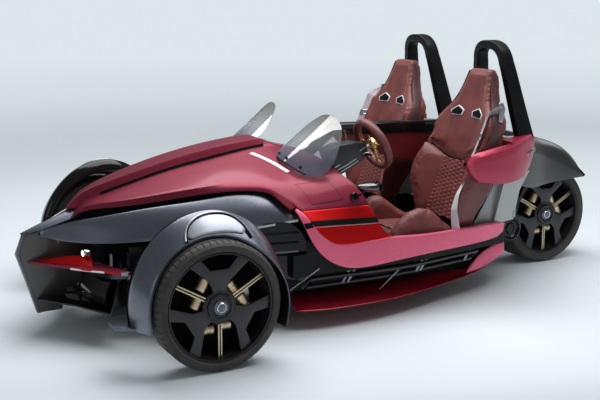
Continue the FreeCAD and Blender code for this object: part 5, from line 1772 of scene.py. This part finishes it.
# %% Belts and guides
BELT = [(-708, 590, 1024), (-664, 588, 1026), (-614, 587, 1008), (-594, 590, 960), (-564, 592, 895),
        (-530, 597, 826), (-486, 604, 756)]
TAPE = [(-500, 604, 756), (-482, 600, 700), (-454, 600, 650), (-424, 600, 600), (-406, 600, 520),
        (-420, 600, 424), (-428, 600, 398)]
TURNS = {"belt": ((0, (-0.1, 0.35, 0.93)), (0.10, (-0.1, 0.45, 0.88)), (0.24, (0.46, 0.80, 0.35)),
                  (0.36, (0.46, 0.89, 0)), (1, (0.46, 0.89, 0))),
         "belt_tape": ((0, (0.46, 0.89, 0)), (0.35, (0.46, 0.89, 0)), (0.6, (0.0, 1, 0)),
                       (1, (-0.75, 0.62, 0)))}
HALF_BAND = 22
for stem, path, mat, nodes in (("belt", BELT, WEBBING, ("seat_belts",)),
                               ("belt_tape", TAPE, PALE_TAPE, ())):
    rows = []
    spots = along_path(path, 26)
    for number, spot in enumerate(spots):
        share = number / (len(spots) - 1)
        for (s0, w0), (s1, w1) in zip(TURNS[stem], TURNS[stem][1:]):
            if s0 <= share <= s1:
                across = Vector(w0).lerp(Vector(w1), (share - s0) / (s1 - s0)).normalized()
                break
        rows.append([tuple(spot + across * HALF_BAND * t) for t in (-1, -0.5, 0, 0.5, 1)])
    strap = laid_panel(stem, rows, (0.6, 0.4, 0))
    modify(strap, "SUBSURF", levels=1, render_levels=1)
    modify(strap, "SOLIDIFY", thickness=0.0016, offset=-1)
    pair(strap, stem, mat, *nodes)
solid_pair("belt_guide",
           [[(-676, 596, 968), (-700, 594, 962), (-724, 580, 1030), (-716, 576, 1062),
             (-690, 578, 1066), (-684, 590, 1010)],
            [(-674, 604, 966), (-702, 602, 960), (-728, 590, 1030), (-718, 584, 1064),
             (-688, 586, 1068), (-680, 598, 1010)],
            [(-678, 608, 970), (-698, 606, 966), (-722, 595, 1030), (-714, 590, 1058),
             (-692, 591, 1062), (-684, 602, 1010)]], 3, SILVER, steps=3)
across, up, out = [Vector(way).normalized()
                   for way in ((0.46, 0.89, 0), (-0.4, 0.0, 0.92), (0.89, -0.46, 0.3))]
solid_pair("belt_slide",
           [[tuple(Vector((-565, 591, 897)) + across * a + up * b + out * c)
             for a, b in ((-25, -16), (25, -16), (25, 16), (-25, 16))] for c in (-3, 5)], 1.5,
           CHROME)

# %% [markdown]
# ## Roll hoops
#
# Each seat has a flat bar bent into an arch behind it. Its section is carried along the arch
# from one foot to the other: it is deep at the feet and slimmer at the top, and the feet stand
# further apart than the top. Wide rounded edges catch the light.

# %% Sweep the hoops
def hoop_section(out, z, along_out, along_z):
    """Four corners of the bar, across the arch and along the car."""
    share = (z - 850) / 529
    middle, depth = -905 + 105 * share, 105 - 39 * share
    across = Vector((along_z, -along_out)).normalized() * 23
    return [(middle + s * depth / 2, 350 + out + t * across.x, z + t * across.y)
            for s, t in ((1, 1), (1, -1), (-1, -1), (-1, 1))]


path = [(190, 850), (179, 905), (168, 960), (155, 1030), (143, 1100), (131, 1170), (120, 1230)]
for turn in range(8, 90, 9):
    a = math.radians(turn)
    path.append((112 * math.cos(a) ** 0.72, 1240 + 116 * math.sin(a) ** 0.80))
path = path + [(0, 1356)] + [(-y, z) for y, z in reversed(path)]
sections = []
for number, (out, z) in enumerate(path):
    before, after = path[max(0, number - 1)], path[min(len(path) - 1, number + 1)]
    run = Vector((after[0] - before[0], after[1] - before[1])).normalized()
    sections.append(hoop_section(out, z, run.x, run.y))
solid_pair("hoop_bar", sections, 7, SATIN_BLACK, "{side}_roll_hoop", steps=4, bend=40, angle=50)

# %% [markdown]
# ## Shoulder pods
#
# A painted pod stands beside each seat's shoulder. It has a flat top, two facets down its flank
# and a pointed front, and a slot with a bright edge is let into its rear end. The helper below
# finds rows between given stations on a smooth curve; the tail and the skirts use it, and the pod
# takes its stations as they are.

# %% Smooth rows between stations
def smooth_between(p, q, r, s, t):
    """Value at the share t from q to r, on the smooth curve through p, q, r and s."""
    return 0.5 * (2 * q + (r - p) * t + (2 * p - 5 * q + 4 * r - s) * t * t
                  + (3 * q - p - 3 * r + s) * t ** 3)


def smooth_rows(stations, parts):
    """Rows of numbers on a smooth curve through the stations."""
    rows = []
    padded_rows = [stations[0]] + list(stations) + [stations[-1]]
    for a, b, c, d in zip(padded_rows, padded_rows[1:], padded_rows[2:], padded_rows[3:]):
        for step in range(parts):
            rows.append(tuple(smooth_between(*four, step / parts) for four in zip(a, b, c, d)))
    return rows + [tuple(stations[-1])]


# x, outer y at the crease, low z, crease z, top z, inner y
POD = [(-440, 660, 752, 770, 792, 642), (-470, 674, 700, 752, 806, 641),
       (-505, 687, 664, 742, 820, 640), (-600, 686, 648, 744, 837, 640),
       (-690, 678, 641, 746, 849, 640), (-748, 665, 642, 749, 857, 640),
       (-756, 663, 642, 750, 858, 521), (-800, 648, 647, 756, 864, 521),
       (-850, 626, 656, 764, 872, 521), (-910, 594, 700, 800, 880, 498),
       (-953, 567, 742, 826, 885, 470)]
outlines = []
for x, outer, low, crease, top, inner in POD:
    outlines.append([(x, inner, low + 3), (x, outer - 30, low), (x, outer - 9, low + 9),
                     (x, outer, crease), (x, outer - 10, top - 20), (x, outer - 24, top - 2),
                     (x, inner + 10, top + 1), (x, inner, top - 6)])
# the pods' lightened paint is a painted reflection
solid_pair("pod", outlines, 4, POD_PAINT_WITH_PAINTED_REFLECTION, "{side}_shoulder_pod", steps=3, bend=28)
notch = drawn_out("notch", [[(-862, 624, 778), (-862, 612, 764), (-862, 600, 778)],
                            [(-915, 594, 800), (-915, 584, 776), (-915, 570, 800)],
                            [(-957, 568, 806), (-957, 558, 778), (-957, 545, 806)]])
notch.data.transform(Matrix.Translation((0, 0.0016, 0)))
soften(notch, 0.8)
pair(notch, "pod_notch", SILVER)
slot = drawn_out("slot", [[(-880, 620, 786), (-880, 616, 778), (-880, 600, 782)],
                          [(-915, 598.5, 799), (-915, 595, 781), (-915, 580, 796)],
                          [(-958, 572.5, 803), (-958, 569, 783), (-958, 550, 800)]])
pair(slot, "pod_slot", GLOSS_BLACK)

# %% [markdown]
# ## Tail
#
# The hood behind the seats narrows down over the rear tyre. It is one skin laid from side to
# side: low edge, flank, shoulder and crown. Its low edge runs level over the wheel. A dull
# liner closes the arch under it.

# %% Lay the tail
# x, half width on top, half width of the side, z of the side, top and low edge
TAIL = [(-1010, 330, 400, 770, 856, 560), (-1150, 262, 336, 728, 828, 524),
        (-1300, 200, 258, 676, 792, 520), (-1456, 158, 214, 628, 746, 521),
        (-1530, 142, 202, 604, 712, 521), (-1600, 128, 190, 578, 662, 521),
        (-1644, 118, 182, 556, 606, 522), (-1670, 110, 174, 540, 552, 523)]
tail_rows = []
for x, top_y, side_y, side_z, top_z, low_z in smooth_rows(TAIL, 2):
    half = [(side_y, low_z), (side_y + 3, (low_z + side_z) / 2), (side_y, side_z),
            ((side_y + top_y) / 2 + 9, (side_z + top_z) / 2 + 7), (top_y, top_z - 1),
            (top_y * 0.5, top_z + 1)]
    tail_rows.append([(x, -y, z) for y, z in half] + [(x, 0, top_z + 2)] + [
                         (x, y, z) for y, z in reversed(half)])
tail = laid_panel("tail_hood", tail_rows, (0, 0, 1))
skin(tail, 6, edge=1.5, smooth=2)
set_piece(tail, TAIL_GREY, "tail_fender")
LINER_RADIUS = 318
liner_rows = []
for turn in range(24, 142, 6):
    a = math.radians(turn)
    x = REAR_AXLE_X + LINER_RADIUS * math.cos(a)
    spread = 40 + 45 * max(0.0, math.cos(a))
    z = AXLE_Z + LINER_RADIUS * math.sin(a)
    liner_rows.append([(x, -150 - spread * 0.7, z + 22), (x, -150, z), (x, 0, z + 1), (x, 150, z),
                       (x, 150 + spread * 0.7, z + 22)])
arch = laid_panel("tail_liner", liner_rows, (0, 0, -1))
skin(arch, -4, edge=0, smooth=1)
set_piece(arch, GRAINED_BLACK)
print("tail", len(tail.data.polygons), "faces")

# %% Bulkhead and rear wall behind the seats
wall = laid_panel("rear_bulkhead",
                  [[(-862, y, 646), (-868, y, 760), (-874, y, 846), (-900, y, 853), (-1012, y, 853)]
                   for y in (-395, -250, -120, 0, 120, 250, 395)], (1, 0, 1))
skin(wall, 3, edge=0, smooth=1)
set_piece(wall, GRAINED_BLACK)

# %% [markdown]
# ## Silver side panels and the pivot's end caps
#
# Under each pod a satin panel leans back between the sill and the tail, folded once near its
# rear edge, with a thin dark line and a thin bright one along its front. Below it the round cap
# closes the end of the rear arm's pivot: a thick ring, a recessed face with four pins, and a
# small hub.

# %% Silver panels
def side_panel_y(x):
    """How far out the panel is."""
    return 512 - 72 * (-x - 600) / 400


panel_rows = []
for z in (383, 450, 520, 590, 650):
    front, rear = -606 - (z - 385) * 0.608, -843 - (z - 385) * 0.755
    fold = max(-838.0, rear + 8) if z < 400 else -838.0
    row = []
    for x, lift in ((front, 0), (front * 0.6 + fold * 0.4, 5), (fold + 5, 6), (fold - 3, -2),
                    ((fold + rear) / 2, -2), (rear, -4)):
        row.append((x, side_panel_y(x) + lift, z))
    panel_rows.append(row)
panel_pair("rear_side_panel", panel_rows, (0, 1, 0), 5, SATIN_PANEL, creased=(2, 3), smooth=1)
for number, ahead in enumerate((16, 9)):
    panel_pair("panel_trim_%d" % number,
               [[(-606 - (z - 385) * 0.608 + ahead, side_panel_y(-620) - ahead * 0.3, z),
                 (-606 - (z - 385) * 0.608 + ahead - 4, side_panel_y(-620) - ahead * 0.3 + 2, z)]
                for z in (392, 460, 530, 600, 650)], (0, 1, 0), 4,
               SILVER if number else GLOSS_BLACK, edge=0.4, smooth=1)
solid_pair("pivot_lug",
           [[(-925, 446, 398), (-868, 452, 396), (-872, 452, 430), (-934, 446, 436)],
            [(-925, 420, 398), (-868, 424, 396), (-872, 424, 430), (-934, 420, 436)]], 3, PALE_GREY,
           steps=3)

# %% Pivot caps
cap = spun("cap",
           [(0.3, 430), (20, 430), (22, 434), (28, 434), (31, 429), (34, 426), (48, 426), (52, 430),
            (55, 437), (62, 439), (66, 436), (69, 428), (66, 402), (50, 400.5), (0.3, 424.4)],
           (-922, 0, 329), 80)
tidy_faces(cap)
pins = [spun("pin", [(0.3, 428.5), (3.4, 428.5), (4.0, 427.5), (4.0, 424), (0.3, 424)],
             (-922 + 41 * math.cos(a), 0, 329 + 41 * math.sin(a)), 16)
        for a in (0.3, 1.9, 3.4, 5.0)]
pair(joined("cap", cap, *pins), "pivot_cap", GLOSS_BLACK)

# %% [markdown]
# ## Under the sills
#
# Below each ribbon is an open frame of dark bars with slanted braces, and under that a thin
# painted skirt whose outer edge turns up into a lip. It rises to a small tail ahead of the rear
# wheel. Pale braces lean against the frame, thin steel struts hold its ends, and a dull panel
# behind it closes the side of the hull.

# %% Skirts
# x, inner y, outer y, z
SKIRT = [(520, 440, 612, 118), (370, 440, 652, 118), (230, 440, 657, 118), (80, 440, 655, 118),
         (-60, 436, 632, 118), (-200, 430, 600, 118), (-365, 410, 551, 119), (-530, 385, 500, 122),
         (-620, 374, 476, 129), (-695, 366, 462, 142), (-750, 368, 457, 172), (-800, 372, 455, 208),
         (-860, 385, 452, 253)]
panel_pair("skirt",
           [[(x, yi, z + 30), (x, (yi + yo) / 2, z + 20), (x, yo - 40, z - 2), (x, yo - 9, z - 16),
             (x, yo, z - 9)] for x, yi, yo, z in smooth_rows(SKIRT, 2)], (0, 0, 1), 6, SKIRT_RED,
           "side_skirts", edge=1.0)
# the skirt's tail uses the rose paint, partly a painted reflection
panel_pair("skirt_tail",
           [[(x, y, low), (x, y + 8, (low + top) / 2), (x, y + 2, top), (x, y - 12, top - 2)]
            for x, y, low, top in ((-590, 478, 122, 136), (-630, 470, 126, 170),
                                   (-680, 464, 132, 214), (-740, 460, 146, 244),
                                   (-800, 457, 170, 258), (-858, 454, 204, 268))], (0, 1, 0), 5,
           ROSE_WITH_PAINTED_REFLECTION, creased=(2,), edge=1.0)

# %% Frame bars
def bar_between(name, a, b, half_wide, half_deep, up=(0, 0, 1)):
    """A squared bar from one point to another."""
    a, b = Vector(a), Vector(b)
    run = (b - a).normalized()
    side = run.cross(Vector(up)).normalized()
    top = side.cross(run).normalized()
    ring = [(side * s * half_deep + top * t * half_wide)
            for s, t in ((1, 1), (1, -1), (-1, -1), (-1, 1))]
    obj = drawn_out(name, [[tuple(a + r) for r in ring], [tuple(b + r) for r in ring]])
    soften(obj, 2.0, 3)
    return obj


bars = [tube("rail",
             [(440, 585, 252), (170, 594, 252), (-100, 600, 252), (-370, 552, 252),
              (-640, 500, 252)], 13.5, 20),
        tube("low_rail",
             [(450, 560, 205), (180, 562, 205), (-80, 560, 205), (-350, 514, 205),
              (-620, 465, 205)], 13.5, 20),
        bar_between("end", (440, 586, 252), (470, 560, 205), 8, 8),
        bar_between("end", (-640, 500, 252), (-622, 465, 205), 8, 8)]
for x, y, root in ((400, 588, 440), (120, 593, 440), (-180, 585, 440), (-480, 529, 435)):
    bars.append(bar_between("cross", (x, root, 252), (x, y, 252), 7, 7))
    bars.append(bar_between("cross", (x, root, 205), (x, y - 25, 205), 7, 7))
pair(joined("bars", *bars), "side_rail_frame", FRAME_BLACK, "side_rails")
braces = []
for x, y in ((245, 598), (215, 599), (-205, 586), (-235, 581), (-560, 520)):
    braces.append(bar_between("brace", (x + 6, y - 22, 206), (x - 34, y + 2, 300), 7, 5, (1, 0, 0)))
pair(joined("braces", *braces), "rail_braces", PALE_GREY)
struts = [bar_between("strut", (425, 655, 322), (560, 600, 214), 3.2, 3.2, (1, 0, 0)),
          bar_between("strut", (-80, 590, 240), (20, 560, 136), 3.2, 3, (1, 0, 0))]
pair(joined("struts", *struts), "rail_struts", STEEL)

# %% Long panel between the frame and the hull
panel_pair("hull_side_panel",
           [[(x, y, 300), (x, y + 6, 250), (x, y + 4, 190), (x, y - 6, 132)]
            for x, y in ((470, 462), (250, 462), (0, 460), (-250, 455), (-480, 446), (-640, 438))],
           (0, 1, 0), 4, GRAINED_BLACK, edge=0.6, smooth=1)

# %% [markdown]
# ## Liner under the bonnet
#
# A dull liner hangs inside the bonnet's edge, so that no daylight shows between the bonnet, the
# wheel blades and the tub. Duct slats cross the opening behind each front wheel.

# %% Wheel-well liner and duct slats
panel_pair("well_liner",
           [[(x, y - 30, top + 20), (x, y, top), (x, y + 4, 420), (x, y + 2, 300), (x, y - 6, 160)]
            for x, y, top in ((1290, 380, 440), (1220, 392, 450), (1100, 400, 500), (940, 420, 540),
                              (800, 436, 540), (640, 450, 540))], (0, 1, 0), 3, GRAINED_BLACK,
           edge=0, smooth=1)
panel_pair("side_duct",
           [[(x, y, top), (x - 6, y + 8, (top + low) / 2), (x, y + 2, low)]
            for x, y, top, low in ((790, 520, 545, 330), (700, 548, 550, 300), (610, 572, 556, 280),
                                   (540, 584, 556, 262), (470, 596, 470, 250))], (0, 1, 0), 4,
           GLOSS_BLACK, edge=0)
for number, (z, mat) in enumerate(((500, GRAINED_BLACK), (452, GRAINED_BLACK), (404, PALE_GREY),
                                   (392, GRAINED_BLACK))):
    panel_pair("duct_slat_%d" % number,
               [[(x, y + 4, z + 5), (x, y + 16, z), (x, y + 4, z - 5)]
                for x, y in ((790, 520), (700, 548), (610, 572), (510, 590))], (0, 1, 0), 2, mat,
               creased=(1,), edge=0, smooth=1)

# %% Bonnet liner
LINER = [(1440, 40, 600, 560), (1330, 140, 622, 560), (1200, 226, 648, 556), (1000, 342, 692, 552),
         (800, 404, 716, 548), (640, 450, 708, 540), (560, 478, 668, 520)]
panel_pair("bonnet_liner",
           [[(x, y - 40, top - 4), (x, y, top - 8), (x, y - 2, (top + low) / 2), (x, y - 8, low)]
            for x, y, top, low in LINER], (0, 1, 0), 3, GRAINED_BLACK, edge=0)

# %% Finish
bpy.context.view_layer.update()
